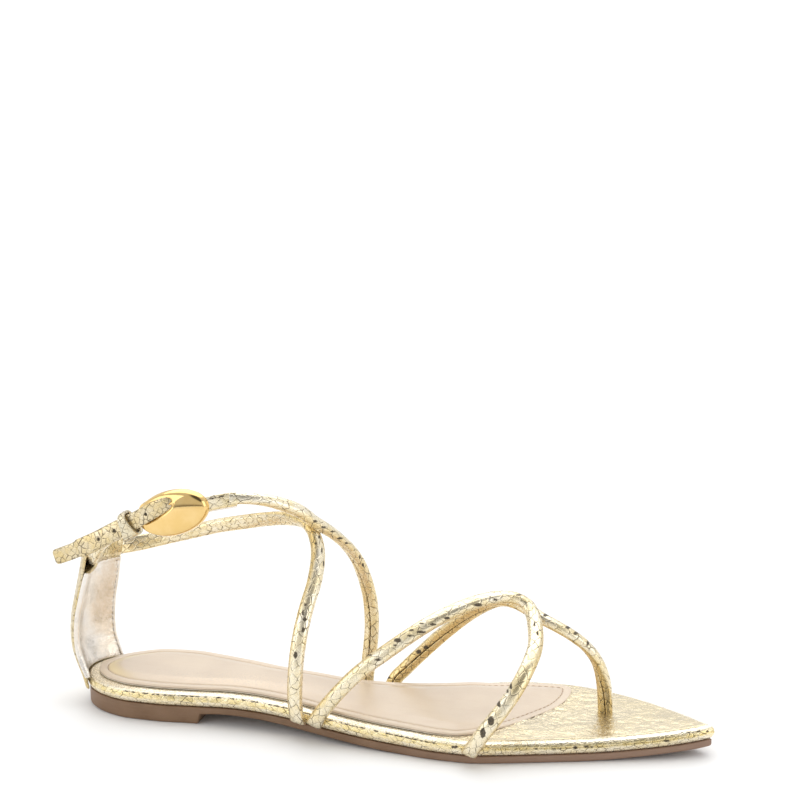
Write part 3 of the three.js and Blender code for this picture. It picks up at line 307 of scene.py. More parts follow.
# ---- materials -------------------------------------------------------------------------------------
class Finish:
    """A small helper that wires one material's nodes."""

    def __init__(self, name):
        self.mat = bpy.data.materials.new(name)
        self.mat.use_nodes = True
        self.tree = self.mat.node_tree
        self.tree.nodes.clear()
        out = self.tree.nodes.new("ShaderNodeOutputMaterial")
        self.shader = self.tree.nodes.new("ShaderNodeBsdfPrincipled")
        self.tree.links.new(self.shader.outputs[0], out.inputs[0])

    def node(self, kind, **props):
        n = self.tree.nodes.new("ShaderNode" + kind)
        for k, v in props.items():
            setattr(n, k, v)
        return n

    def put(self, socket, value):
        if isinstance(value, bpy.types.NodeSocket):
            self.tree.links.new(value, socket)
        else:
            socket.default_value = value

    def set(self, **values):
        for k, v in values.items():
            if isinstance(v, tuple) and len(v) == 3:
                v = (*v, 1.0)
            self.put(self.shader.inputs[k.replace("_", " ")], v)

    def math(self, op, a, b=0.0, c=0.0, clamp=False):
        n = self.node("Math", operation=op, use_clamp=clamp)
        for s, v in zip(n.inputs, (a, b, c)):
            self.put(s, v)
        return n.outputs[0]

    def chart(self):
        return self.node("Attribute", attribute_name="chart").outputs["Vector"]

    def value(self, name):
        return self.node("Attribute", attribute_name=name).outputs["Fac"]

    def place(self):
        """Object coordinates, in millimetres."""
        n = self.node("VectorMath", operation="SCALE")
        self.put(n.inputs[0], self.node("TexCoord").outputs["Object"])
        n.inputs[3].default_value = 1000.0
        return n.outputs[0]

    def noise(self, at, size, detail=2.0, rough=0.5, bend=0.0, colour=False):
        n = self.node("TexNoise")
        self.put(n.inputs["Vector"], at)
        n.inputs["Scale"].default_value = 1.0 / size
        n.inputs["Detail"].default_value = detail
        n.inputs["Roughness"].default_value = rough
        n.inputs["Distortion"].default_value = bend
        return n.outputs["Color" if colour else "Fac"]

    def cells(self, at, scale=1.0, random=1.0, feature="DISTANCE_TO_EDGE", dims="3D"):
        n = self.node("TexVoronoi", voronoi_dimensions=dims, feature=feature)
        self.put(n.inputs["Vector"], at)
        n.inputs["Scale"].default_value = scale
        n.inputs["Randomness"].default_value = random
        return n.outputs["Distance"] if feature != "COLOR" else n.outputs["Color"]

    def cell_tone(self, at, scale=1.0, random=1.0, dims="2D"):
        n = self.node("TexVoronoi", voronoi_dimensions=dims, feature="F1")
        self.put(n.inputs["Vector"], at)
        n.inputs["Scale"].default_value = scale
        n.inputs["Randomness"].default_value = random
        s = self.node("SeparateColor")
        self.put(s.inputs[0], n.outputs["Color"])
        return s.outputs[0]

    def ease(self, x, lo, hi, a=0.0, b=1.0):
        n = self.node("MapRange", interpolation_type="SMOOTHSTEP")
        for s, v in zip(n.inputs, (x, lo, hi, a, b)):
            self.put(s, v)
        return n.outputs[0]

    def mix(self, f, a, b):
        n = self.node("Mix", data_type="RGBA")
        self.put(n.inputs[0], f)
        for s, v in ((n.inputs[6], a), (n.inputs[7], b)):
            self.put(s, (*v, 1.0) if isinstance(v, tuple) else v)
        return n.outputs[2]

    def lerp(self, f, a, b):
        n = self.node("Mix", data_type="FLOAT")
        for s, v in ((n.inputs[0], f), (n.inputs[2], a), (n.inputs[3], b)):
            self.put(s, v)
        return n.outputs[0]

    def split(self, v):
        n = self.node("SeparateXYZ")
        self.put(n.inputs[0], v)
        return n.outputs

    def join(self, x, y, z=0.0):
        n = self.node("CombineXYZ")
        for s, v in zip(n.inputs, (x, y, z)):
            self.put(s, v)
        return n.outputs[0]

    def add(self, a, b):
        n = self.node("VectorMath", operation="ADD")
        self.put(n.inputs[0], a)
        self.put(n.inputs[1], b)
        return n.outputs[0]

    def scaled(self, v, k):
        n = self.node("VectorMath", operation="SCALE")
        self.put(n.inputs[0], v)
        self.put(n.inputs[3], k)
        return n.outputs[0]

    def bump(self, height, depth, strength=1.0, onto=None):
        """height times depth in millimetres."""
        n = self.node("Bump")
        n.inputs["Strength"].default_value = strength
        n.inputs["Distance"].default_value = depth / 1000.0
        self.put(n.inputs["Height"], height)
        if onto is not None:
            self.put(n.inputs["Normal"], onto)
        return n.outputs[0]


def foil(name, cell=(4.9, 3.7), line=0.052, marks=True, gold=0.5, rough=0.27, pale=(0.955, 0.885, 0.675),
         deep=(0.93, 0.79, 0.45), random=0.62, metal=0.80, painted_side_shade=0.0, under=0.0, worn=0.50,
         band=None):
    """Foil-faced leather with an embossed skin pattern: thin dark lines between diamond scales."""
    m = Finish(name)
    at = m.chart()
    across = m.split(at)[1]
    drift = m.node("VectorMath", operation="SUBTRACT")
    m.put(drift.inputs[0], m.noise(at, 4.4, 2.0, 0.5, colour=True))
    drift.inputs[1].default_value = (0.5, 0.5, 0.5)
    moved = m.add(at, m.scaled(drift.outputs[0], 1.9))
    u, v, _ = m.split(moved)
    p = m.math("DIVIDE", u, cell[0])
    q = m.math("DIVIDE", v, cell[1])
    net = m.join(m.math("ADD", p, q), m.math("SUBTRACT", p, q))
    edge = m.cells(net, 1.0, random, dims="2D")
    tone = m.cell_tone(net, 1.0, random)
    broad = m.noise(m.add(at, (31.0, 7.0, 0.0)), 3.2, 3.0, 0.6)
    width = m.lerp(m.ease(broad, 0.34, 0.68), line * 0.45, line * 1.75)
    lines = m.ease(edge, m.math("MULTIPLY", width, 0.25), width, 1.0, 0.0)
    lines = m.math("MULTIPLY", lines, m.lerp(m.ease(broad, 0.36, 0.60), 0.30, 1.0))
    # a few finer cracks inside the scales
    fine = m.cells(m.add(moved, (5.0, 3.0, 0.0)), 0.72, 1.0, dims="2D")
    fine = m.ease(fine, 0.0, 0.030, 1.0, 0.0)
    some = m.ease(m.noise(m.add(at, (3.0, 71.0, 0.0)), 5.5, 3.0, 0.6), 0.50, 0.66)
    fine = m.math("MULTIPLY", fine, some)
    ink = m.math("MAXIMUM", lines, m.math("MULTIPLY", fine, worn))
    warm = m.ease(m.noise(m.add(at, (11.0, 2.0, 0.0)), 9.0, 3.0, 0.6), 0.36, 0.66)
    warm = m.math("ADD", m.math("MULTIPLY", warm, 0.6), m.math("MULTIPLY", tone, 0.4))
    colour = m.mix(m.math("MULTIPLY", warm, gold * 2.0, clamp=True), pale, deep)
    if painted_side_shade or under:
        # painted shade: the foil is painted yellower on the faces turned away from the lights and next to the closed
        # edge
        side = m.math("MULTIPLY", m.ease(across, 1.2, 3.2), m.ease(across, 4.6, 6.0, 1.0, 0.0))
        turned = m.math("MAXIMUM", m.math("MULTIPLY", side, painted_side_shade),
                        m.math("MULTIPLY", m.ease(m.math("ABSOLUTE", across), 4.4, 6.4), under))
        colour = m.mix(m.math("MULTIPLY", turned, m.lerp(m.ease(broad, 0.3, 0.6), 0.7, 1.0), clamp=True), colour, (0.72, 0.53, 0.21))
    if band:
        # painted shade and highlight: a yellower belt is painted along the turned-in edge, and the flat top is painted
        # paler with fainter lines, as the light falls on it
        painted_shade_belt = m.math("MULTIPLY", m.ease(across, band[0], band[0] + 0.7), m.ease(across, band[1] - 0.5, band[1] + 0.1, 1.0, 0.0))
        painted_shade_belt = m.math("MULTIPLY", painted_shade_belt, m.lerp(m.ease(broad, 0.36, 0.62), 0.45, 1.0))
        colour = m.mix(m.math("MULTIPLY", painted_shade_belt, 0.85), colour, (0.83, 0.67, 0.30))
        painted_pale_top = m.ease(across, band[1] + 0.1, band[1] + 0.7)
        colour = m.mix(m.math("MULTIPLY", painted_pale_top, 0.45), colour, (0.88, 0.83, 0.73))
        ink = m.math("MULTIPLY", ink, m.lerp(painted_pale_top, 1.0, 0.35))
    # dusty flecks where the foil lets the base through
    fleck = m.ease(m.noise(at, 0.9, 3.0, 0.7), 0.60, 0.70)
    fleck = m.math("MULTIPLY", fleck, some)
    colour = m.mix(m.math("MULTIPLY", fleck, 0.38), colour, (0.50, 0.41, 0.27))
    colour = m.mix(m.math("MULTIPLY", ink, 0.90), colour, (0.15, 0.115, 0.07))
    grain = m.noise(at, 0.9, 3.0, 0.6)
    solid = metal
    tough = m.math("MULTIPLY_ADD", grain, 0.12, rough - 0.06)
    if marks:
        d = m.value("spot")
        ragged = m.math("MULTIPLY_ADD", m.math("SUBTRACT", m.noise(at, 0.75, 3.0, 0.7), 0.5), 1.1, d)
        dark = m.ease(ragged, -0.16, 0.16, 1.0, 0.0)
        colour = m.mix(m.math("MULTIPLY", dark, 0.96), colour, m.mix(m.ease(grain, 0.3, 0.75), (0.016, 0.011, 0.006), (0.12, 0.085, 0.045)))
        solid = m.lerp(dark, metal, 0.15)
        tough = m.lerp(dark, tough, 0.45)
    m.set(Metallic=solid, Base_Color=colour, Roughness=m.math("MULTIPLY_ADD", ink, 0.20, tough))
    n = m.bump(m.ease(edge, 0.0, 0.16), 0.10, 0.60)
    n = m.bump(m.noise(at, 3.4, 2.0, 0.5), 0.16, 0.45, n)
    n = m.bump(grain, 0.030, 0.55, n)
    m.set(Normal=n)
    return m


def crinkled(name):
    """Foil leather pulled over the toe: fine irregular wrinkles, satin metal."""
    m = Finish(name)
    at = m.place()
    bent = m.add(at, m.scaled(m.noise(at, 5.0, 2.0, colour=True), 3.2))
    veins = m.cells(bent, 0.46, 1.0)
    small = m.cells(bent, 1.25, 1.0)
    near = m.value("near")
    n1 = m.noise(bent, 1.3, 4.0, 0.62)
    low = m.ease(m.noise(at, 12.0, 3.0), 0.35, 0.65)
    colour = m.mix(low, (0.66, 0.575, 0.41), (0.72, 0.62, 0.42))
    cracks = m.ease(m.noise(m.add(at, (40.0, 9.0, 0.0)), 7.0, 3.0, 0.6), 0.40, 0.62)
    crease = m.math("MULTIPLY", m.ease(veins, 0.0, 0.055, 1.0, 0.0), m.lerp(near, m.math("MULTIPLY", cracks, 0.75), 1.0))
    crease2 = m.math("MULTIPLY", m.ease(small, 0.0, 0.06, 1.0, 0.0), m.math("MULTIPLY", cracks, m.lerp(near, 0.25, 0.7)))
    colour = m.mix(m.math("MULTIPLY", m.math("MAXIMUM", crease, crease2), m.lerp(near, 0.16, 0.55)), colour, (0.27, 0.205, 0.12))
    pale = m.ease(m.noise(bent, 2.4, 3.0, 0.6), 0.52, 0.68)
    colour = m.mix(m.math("MULTIPLY", pale, 0.20), colour, (0.84, 0.78, 0.62))
    m.set(Base_Color=colour, Metallic=0.94, Roughness=m.math("MULTIPLY_ADD", n1, 0.12, 0.20))
    calm = m.lerp(near, 0.30, 1.0)
    n = m.bump(m.math("MULTIPLY", m.ease(veins, 0.0, 0.20), calm), 0.16, 0.65)
    n = m.bump(m.math("MULTIPLY", m.ease(small, 0.0, 0.26), calm), 0.05, 0.6, n)
    n = m.bump(m.math("MULTIPLY", n1, calm), 0.12, 0.5, n)
    m.set(Normal=n)
    return m


def lining(name):
    """Pale metallic lining leather with a fine pebbled grain."""
    m = Finish(name)
    at = m.place()
    grain = m.cells(m.add(at, m.scaled(m.noise(at, 1.2, 2.0, colour=True), 0.8)), 1.45, 1.0)
    patch = m.ease(m.noise(at, 8.0, 3.0, 0.6), 0.46, 0.64)
    pores = m.math("MULTIPLY", m.ease(grain, 0.0, 0.13, 1.0, 0.0), m.lerp(patch, 0.10, 0.95))
    speck = m.math("MULTIPLY", m.ease(m.noise(at, 0.55, 3.0, 0.7), 0.55, 0.70), m.lerp(patch, 0.15, 0.9))
    colour = m.mix(m.ease(m.noise(at, 13.0, 2.0), 0.35, 0.65), (0.90, 0.855, 0.80), (0.90, 0.825, 0.73))
    colour = m.mix(m.math("MULTIPLY", m.math("MAXIMUM", pores, speck), 0.70), colour, (0.27, 0.22, 0.16))
    m.set(Base_Color=colour, Metallic=0.93,
          Roughness=m.math("MULTIPLY_ADD", m.noise(at, 0.7, 3.0, 0.6), 0.12, 0.14))
    n = m.bump(m.ease(grain, 0.0, 0.25), 0.07, 0.5)
    n = m.bump(m.noise(at, 4.5, 3.0, 0.55), 0.45, 0.55, n)
    m.set(Normal=n)
    return m


def sock_leather(name):
    """Smooth beige lining leather with a light shine; the cut edge is painted dark, partly as edge paint and partly as
    painted shade of the gap under the pad's edge.
    """
    m = Finish(name)
    at = m.place()
    pores = m.cells(m.add(at, m.scaled(m.noise(at, 0.8, 2.0, colour=True), 0.5)), 2.0, 1.0)
    cloud = m.noise(at, 22.0, 3.0, 0.55)
    colour = m.mix(m.ease(cloud, 0.3, 0.7), (0.655, 0.53, 0.40), (0.705, 0.58, 0.44))
    streak = m.noise(m.join(m.math("MULTIPLY", m.split(at)[0], 0.16), m.split(at)[1]), 2.6, 3.0, 0.6)
    colour = m.mix(m.math("MULTIPLY", m.ease(streak, 0.50, 0.72), 0.20), colour, (0.60, 0.44, 0.31))
    # painted reflection: a placed patch on the pad's outer side is speckled grey and partly metallic, standing in for a
    # silvery sheen
    painted_sheen_patch = m.value("painted_sheen_patch")
    speck = m.math("MULTIPLY", m.ease(m.noise(at, 0.9, 3.0, 0.7), 0.46, 0.62), painted_sheen_patch)
    colour = m.mix(m.math("MULTIPLY", speck, 0.55), colour, (0.50, 0.43, 0.36))
    colour = m.mix(m.math("MULTIPLY", m.ease(pores, 0.0, 0.08, 1.0, 0.0), 0.16), colour, (0.56, 0.40, 0.28))
    worn = m.value("border")
    colour = m.mix(m.math("MULTIPLY", worn, 0.16), colour, (0.95, 0.80, 0.62))
    heel = m.value("heel_tint")
    colour = m.mix(m.math("MULTIPLY", heel, 0.75), colour, (0.84, 0.69, 0.38))
    # partly edge paint, partly painted shade: the pad's cut wall is coloured dark brown, standing in for the shadow
    # line under its edge
    cut = m.value("cut")
    ragged = m.math("MULTIPLY_ADD", m.math("SUBTRACT", m.noise(at, 0.7, 2.0, 0.6), 0.5), 0.8, cut)
    edge = m.ease(ragged, 0.35, 0.6)
    colour = m.mix(edge, colour, m.mix(m.noise(at, 0.6, 2.0), (0.12, 0.055, 0.025), (0.30, 0.17, 0.09)))
    colour = m.mix(m.ease(m.value("foot"), 0.55, 0.95), colour, (0.90, 0.84, 0.73))
    m.set(Base_Color=colour, Roughness=m.lerp(edge, m.math("MULTIPLY_ADD", m.noise(at, 1.6, 3.0), 0.12, 0.25), 0.6),
          Metallic=m.math("MULTIPLY", painted_sheen_patch, 0.45), Specular_IOR_Level=0.6, Coat_Weight=0.25, Coat_Roughness=0.18)
    n = m.bump(m.ease(pores, 0.0, 0.2), 0.03, 0.6)
    n = m.bump(m.noise(at, 4.6, 3.0, 0.5), 0.24, 0.40, n)
    m.set(Normal=n)
    return m


def sole_rubber(name):
    """Moulded brown outsole: satin, faint drag lines along its wall, finer tooth underneath."""
    m = Finish(name)
    at = m.place()
    x, y, z = m.split(at)
    drag = m.noise(m.join(m.math("MULTIPLY", x, 0.06), m.math("MULTIPLY", y, 0.06), z), 0.45, 3.0, 0.6)
    cloud = m.noise(at, 18.0, 3.0, 0.55)
    colour = m.mix(m.ease(cloud, 0.3, 0.7), (0.170, 0.092, 0.044), (0.220, 0.128, 0.070))
    colour = m.mix(m.math("MULTIPLY", m.ease(drag, 0.45, 0.75), 0.35), colour, (0.25, 0.155, 0.10))
    # painted highlight: the wall is painted lighter towards the toe
    colour = m.mix(m.math("MULTIPLY", m.ease(x, -20.0, 80.0), 0.55), colour, (0.36, 0.235, 0.175))
    dust = m.ease(m.noise(at, 1.3, 3.0, 0.7), 0.58, 0.75)
    colour = m.mix(m.math("MULTIPLY", dust, 0.16), colour, (0.36, 0.27, 0.20))
    under = m.value("under")
    rib = m.math("SINE", m.math("MULTIPLY", m.math("ADD", x, y), 3.4))
    rib2 = m.math("SINE", m.math("MULTIPLY", m.math("SUBTRACT", x, y), 3.4))
    tooth = m.math("MULTIPLY", m.math("MULTIPLY", m.ease(rib, 0.2, 0.9), m.ease(rib2, 0.2, 0.9)), under)
    m.set(Base_Color=colour, Roughness=m.math("MULTIPLY_ADD", cloud, 0.12, 0.40), Specular_IOR_Level=0.45)
    n = m.bump(tooth, 0.3, 0.9)
    n = m.bump(drag, 0.05, 0.5, n)
    n = m.bump(m.noise(at, 0.5, 3.0, 0.6), 0.03, 0.6, n)
    m.set(Normal=n)
    return m


def polished_gold(name):
    """Gold-plated casting, mirror polish with hairline wear and a few soft smears."""
    m = Finish(name)
    at = m.place()
    smear = m.noise(at, 6.0, 3.0, 0.6)
    hair = m.noise(m.scaled(at, 1.0), 0.35, 2.0, 0.5, 0.4)
    colour = m.mix(m.ease(smear, 0.3, 0.7), (0.85, 0.61, 0.27), (0.81, 0.56, 0.22))
    m.set(Base_Color=colour, Metallic=1.0,
          Roughness=m.math("MULTIPLY_ADD", m.ease(smear, 0.45, 0.75), 0.045, 0.035))
    m.set(Normal=m.bump(hair, 0.0035, 0.35, m.bump(smear, 0.05, 0.25)))
    return m


def thread(name, light, dark):
    m = Finish(name)
    at = m.place()
    x, y, z = m.split(at)
    twist = m.math("SINE", m.math("MULTIPLY", m.math("ADD", m.math("ADD", x, y), z), 9.0))
    m.set(Base_Color=m.mix(m.ease(twist, -0.6, 0.8), dark, light), Roughness=0.62, Sheen_Weight=0.25)
    m.set(Normal=m.bump(twist, 0.05, 0.6))
    return m


def raw_edge(name, light, dark):
    """Cut or painted leather edge."""
    m = Finish(name)
    at = m.place()
    fibre = m.noise(at, 0.5, 4.0, 0.65)
    m.set(Base_Color=m.mix(m.ease(fibre, 0.3, 0.7), dark, light),
          Roughness=m.math("MULTIPLY_ADD", fibre, 0.2, 0.55))
    m.set(Normal=m.bump(fibre, 0.08, 0.7))
    return m


# painted shade: the side and under amounts below paint each strap's turned-away side and closed edge a deeper gold
STRAP_FOIL = foil("strap_foil", painted_side_shade=0.72, under=0.80, pale=(0.91, 0.84, 0.68), deep=(0.86, 0.71, 0.40))
ANKLE_FOIL = foil("ankle_foil", painted_side_shade=0.90, under=0.22, pale=(0.92, 0.855, 0.70), deep=(0.88, 0.74, 0.45))
CROSS_FOIL = foil("cross_foil", painted_side_shade=0.55, under=0.55, pale=(0.93, 0.87, 0.73), deep=(0.89, 0.76, 0.47))
FINE_FOIL = foil("fine_foil", cell=(3.2, 2.7), line=0.085, gold=0.62, random=0.8, pale=(0.72, 0.625, 0.445), deep=(0.68, 0.54, 0.28), worn=0.7)
KEEPER_FOIL = foil("keeper_foil", cell=(2.6, 2.2), line=0.10, gold=0.5, random=0.9, pale=(0.74, 0.69, 0.54), deep=(0.72, 0.60, 0.37), worn=0.9)
PANEL_FOIL = foil("panel_foil", cell=(6.5, 5.5), line=0.030, gold=0.15, random=0.9, rough=0.33)
# painted shade and highlight: band places the rim's painted yellow belt and painted pale top
RIM_FOIL = foil("rim_foil", cell=(4.2, 3.0), line=0.055, gold=0.35, random=0.8, pale=(0.95, 0.875, 0.70), deep=(0.92, 0.76, 0.42), band=(3.6, 6.15))
TOE_FOIL = crinkled("toe_foil")
LINING = lining("counter_lining")
SOCK_LEATHER = sock_leather("sock_leather")
OUTSOLE = sole_rubber("outsole_rubber")
GOLD = polished_gold("buckle_gold")
BEIGE_THREAD = thread("beige_thread", (0.62, 0.43, 0.28), (0.30, 0.18, 0.10))
DARK_THREAD = thread("dark_thread", (0.42, 0.33, 0.22), (0.12, 0.085, 0.05))
EDGE = raw_edge("leather_edge", (0.55, 0.38, 0.27), (0.20, 0.11, 0.07))


# ---- straps ----------------------------------------------------------------------------------------
def half_section(flat, width, thick):
    """Points of a strap's closed section from the inner seam round to the seam again, and its girth."""
    t = np.linspace(-np.pi / 2, 1.5 * np.pi, 1441)
    c, s = np.cos(t), np.sin(t)
    power = np.where(s > 0, 2.15 + 2.6 * flat, 3.0 + 2.0 * flat)
    p = np.stack([0.5 * np.sign(c) * np.abs(c) ** (2 / power), 0.5 * np.sign(s) * np.abs(s) ** (2 / power)], 1)
    real = p * [width, thick]
    along = lengths(real)
    return p, along


def section_stops(girth):
    h = girth / 2
    first = [0, 0.10, 0.22, 0.36, 0.52, 0.72, 0.98, 1.3]
    rest = np.linspace(1.3, h, int(round((h - 1.3) / 0.36)) + 1)[1:]
    one = np.concatenate([first, rest])
    return np.concatenate([one, girth - one[-2:0:-1]]) / girth       # as parts of the girth, seam first


def strap(name, rows, marks=(), step=0.45, seam=((0, 1), (1, 1)), material=None,
          stands_for=(), lift=0.0, mouth=False, rough_end=False, pucker=(), seed=0.0, start_round=False, holes=(), edge_line=None):
    curve = centripetal([r[:3] for r in rows])
    d = lengths(curve)
    at = d[::40][:len(rows)]
    count = int(round(d[-1] / step))
    s = np.linspace(0, d[-1], count + 1)
    p = np.stack([np.interp(s, d, curve[:, k]) for k in range(3)], 1)
    for _ in range(2):
        p[1:-1] = (p[:-2] + 2 * p[1:-1] + p[2:]) / 4
    tan = unit(np.gradient(p, axis=0))
    out = away(p)
    side = unit(np.cross(tan, out))
    out = unit(np.cross(side, tan))
    w, t, flat = (Track(at, [r[k] for r in rows])(s) for k in (3, 4, 5))
    total = d[-1]
    w = w * (1 + 0.018 * wave(s / 13 + seed, 3.3 + seed))
    t = t * (1 + 0.025 * wave(s / 9 + 40 + seed, 1.7))
    mid = half_section(0.0, W, T)
    girth = mid[1][-1]
    stops = section_stops(girth)
    m = len(stops)
    levels = np.linspace(0, 1, 11)
    table = []
    for f in levels:
        q, along = half_section(f, W, T if f < 0.5 else 3.0)
        table.append(np.stack([np.interp(stops * along[-1], along, q[:, k]) for k in range(2)], 1))
    table = np.array(table)                                            # level, stop, (side, out)
    f = np.clip(flat, 0, 1) * 10
    i = np.minimum(f.astype(int), 9)
    g = (f - i)[:, None, None]
    sec = table[i] * (1 - g) + table[i + 1] * g                        # count+1, m, 2
    real = sec * np.stack([w, t], 1)[:, None, :]
    around = np.concatenate([[0], np.cumsum(np.diff(stops))]) * girth  # mm from the seam
    v = np.where(around > girth / 2, around - girth, around)           # signed, 0 at the seam
    chart_v = np.where(around > girth / 2, around - girth / 2, around - girth / 2)  # 0 at the outer middle
    # outward direction inside the section
    nrm = unit(np.stack([sec[..., 0] / np.maximum(w, 1)[:, None], sec[..., 1] / np.maximum(t, 1)[:, None]], -1))
    nrm = unit(np.sign(sec) * np.abs(sec) ** 1.4 / np.stack([w, t], 1)[:, None, :])
    seam_on = np.interp(s / total, [a for a, _ in seam], [b for _, b in seam])[:, None]
    groove = -0.62 * np.exp(-(v / 0.20) ** 2) + 0.10 * np.exp(-((np.abs(v) - 0.62) / 0.33) ** 2)
    groove = groove[None, :] * seam_on * (1 + 0.25 * wave(s[:, None] / 2.2, 9.0 + seed))
    soft = 0.030 * waves(s[:, None] / 3.2 + seed * 7, chart_v[None, :] / 2.6 + 20, 3)
    # crosswise wrinkles where the strap bends hard and where named
    bend = np.linalg.norm(np.gradient(tan, s, axis=0), axis=1)
    folds = np.clip(bend * 9 - 0.25, 0, 1)
    for a, b, amount in pucker:
        folds = np.maximum(folds, amount * smooth(s, a - 3, a) * (1 - smooth(s, b, b + 3)))
    ripple = wave(s[:, None] / 0.95 + seed * 3, chart_v[None, :] / 3.4 + 3.0) * 0.085
    ripple = ripple * folds[:, None]
    real = real + nrm * (groove + soft + ripple)[..., None]
    for hu, hr in holes:                                               # punched holes: deep round dips in the face
        hd = np.hypot(s[:, None] - hu, chart_v[None, :])
        depth = 0.75 * (1 - smooth(hd, hr * 0.75, hr * 1.15)) - 0.10 * np.exp(-((hd - hr * 1.35) / 0.22) ** 2)
        real[..., 1] -= depth
    if lift:
        real[..., 1] += lift
    verts = p[:, None, :] + side[:, None, :] * real[..., :1] + out[:, None, :] * real[..., 1:]
    n = count + 1
    if start_round or rough_end:                                       # ends drawn in a little, with rounded corners
        for flagged, dist in ((start_round, s), (rough_end, total - s)):
            if not flagged:
                continue
            k = np.clip(1 - dist / 1.1, 0, 1)
            shrink = 1 - 0.22 * k**2.2
            centre = p[:, None, :] + out[:, None, :] * lift
            verts = centre + (verts - centre) * shrink[:, None, None]
    faces = [grid_faces(n, m, wrap_m=True)]
    flatv = verts.reshape(-1, 3)
    su, sv = np.meshgrid(s, chart_v, indexing="ij")
    # corner charts: the last column closes on the seam
    q = faces[0]
    cu = su.ravel()[q]
    cv = sv.ravel()[q]
    close = (q % m)[:, 1] == 0
    cv[close, 1] = girth / 2
    cv[close, 2] = girth / 2
    corners = np.stack([cu, cv], -1).reshape(-1, 2)
    extra_v, extra_f, extra_c = [], [], []

    def end_cap(k, way):
        """Closes an end: a recessed mouth or a plain cap."""
        base = len(flatv) + sum(len(e) for e in extra_v)
        ringp = flatv[k * m:(k + 1) * m]
        c = ringp.mean(0)
        if mouth and way > 0:
            steps = [(0.97, 0.12), (0.84, 0.05), (0.76, -0.5), (0.70, -1.6)]
        else:
            steps = [(0.90, 0.03), (0.6, 0.05)]
        prev = np.arange(m) + k * m
        for scale, push in steps:
            r = c + (ringp - c) * scale + tan[k] * push * way
            extra_v.append(r)
            cur = base + np.arange(m)
            base += m
            a, b = prev, np.roll(prev, -1)
            c2, d2 = np.roll(cur, -1), cur
            quad = np.stack([a, b, c2, d2], 1) if way > 0 else np.stack([a, d2, c2, b], 1)
            extra_f.append(quad)
            extra_c.append(np.tile([[s[k], 0.0]], (4 * m, 1)) + np.random.default_rng(3).random((4 * m, 2)) * 0)
            prev = cur
        extra_v.append((c + tan[k] * steps[-1][1] * way)[None])
        tip = base
        tri = np.stack([prev, np.roll(prev, -1), np.full(m, tip)], 1)
        if way < 0:
            tri = tri[:, ::-1]
        extra_f.append(tri)
        extra_c.append(np.tile([[s[k], 0.0]], (3 * m, 1)))

    end_cap(0, -1)
    end_cap(n - 1, 1)
    allv = np.vstack([flatv] + extra_v)
    all_faces = list(map(list, q)) + [list(f) for e in extra_f for f in e]
    allc = np.vstack([corners] + extra_c)
    spot = np.full((n, m), 3.0)
    for mu, mv, a, b, turn in marks:
        du, dv = su - mu, sv - mv
        ca, sa = math.cos(math.radians(turn)), math.sin(math.radians(turn))
        e = np.sqrt(((du * ca + dv * sa) / a) ** 2 + ((dv * ca - du * sa) / b) ** 2)
        spot = np.minimum(spot, (e - 1) * min(a, b))
    # painted shade: the punched holes are coloured near-black like the spots, standing in for the shade inside each
    # hole
    for hu, hr in holes:
        spot = np.minimum(spot, np.hypot(su - hu, sv) - hr * 1.02)
    if edge_line:                                                      # a row of small stitches inside each long edge
        rows = np.abs(np.abs(chart_v)[None, :] - edge_line) - 0.13
        gaps = 0.42 - np.abs((s[:, None] / 1.55) % 1.0 - 0.5)
        inside = (s[:, None] > 1.2) & (gaps > 0)
        spot = np.where(inside, np.minimum(spot, rows), spot)
    line = np.abs(v)[None, :] - 0.13 * seam_on                        # the closed edge of the roll, along its inner side
    spot = np.where(seam_on > 0.5, np.minimum(spot, line), spot)
    spots = np.concatenate([spot.ravel(), np.full(len(allv) - n * m, 3.0)])
    return build(name, allv, all_faces, material or STRAP_FOIL, points={"spot": spots}, corners=allc,
                 stands_for=stands_for)


# ---- sole shapes -----------------------------------------------------------------------------------
STATIONS = 420


def outline_loop(table, extra=(), n=STATIONS):
    x0, x1 = table[0][0], table[-1][0]
    turn = lambda x: math.acos(max(-1, min(1, 1 - 2 * (x - x0) / (x1 - x0)))) / math.pi
    us = [turn(r[0]) for r in table]
    lat, med = Track(us, [r[1] for r in table]), Track(us, [r[2] for r in table])
    u = np.sort(np.concatenate([np.linspace(0, 1, n + 1), [turn(x) for x in extra]]))
    u = u[np.concatenate([[True], np.diff(u) > 0.12 / n])]
    x = x0 + (x1 - x0) * (1 - np.cos(np.pi * u)) / 2
    return x, lat(u), med(u)


def loop_points(x, lat, med):
    return np.vstack([np.stack([x, lat], 1), np.stack([x, med], 1)[-2:0:-1]])


def inset_ring(loop, inset):
    """Loop drawn in square to its own edge, never folded past the middle."""
    pts = loop_points(*loop)
    tan = unit(np.roll(pts, -1, 0) - np.roll(pts, 1, 0))
    out = pts + np.stack([-tan[:, 1], tan[:, 0]], 1) * inset
    n, m = len(loop[0]) - 1, len(pts)
    i = np.arange(1, n)
    a, b = out[i], out[m - i]
    bad = a[:, 1] > b[:, 1] - 0.1
    mid = (a + b) / 2
    out[i[bad], 0] = mid[bad, 0]
    out[m - i[bad], 0] = mid[bad, 0]
    out[i[bad], 1] = mid[bad, 1] - 0.05
    out[m - i[bad], 1] = mid[bad, 1] + 0.05
    # past the last sound station the ring stops instead of poking out of the tip
    if bad.any():
        for side in (i, m - i):
            sound = side[~bad]
            tip = out[sound[-1]].copy()
            late = side[(i > i[~bad][-1])]
            out[late] = tip + (out[late] - tip) * 0.15
    out[n] = (out[n - 1] + out[n + 1]) / 2 + (0.02, 0)
    out[0] = (out[1] + out[m - 1]) / 2 - (0.02, 0) if inset > 2 else out[0]
    return out


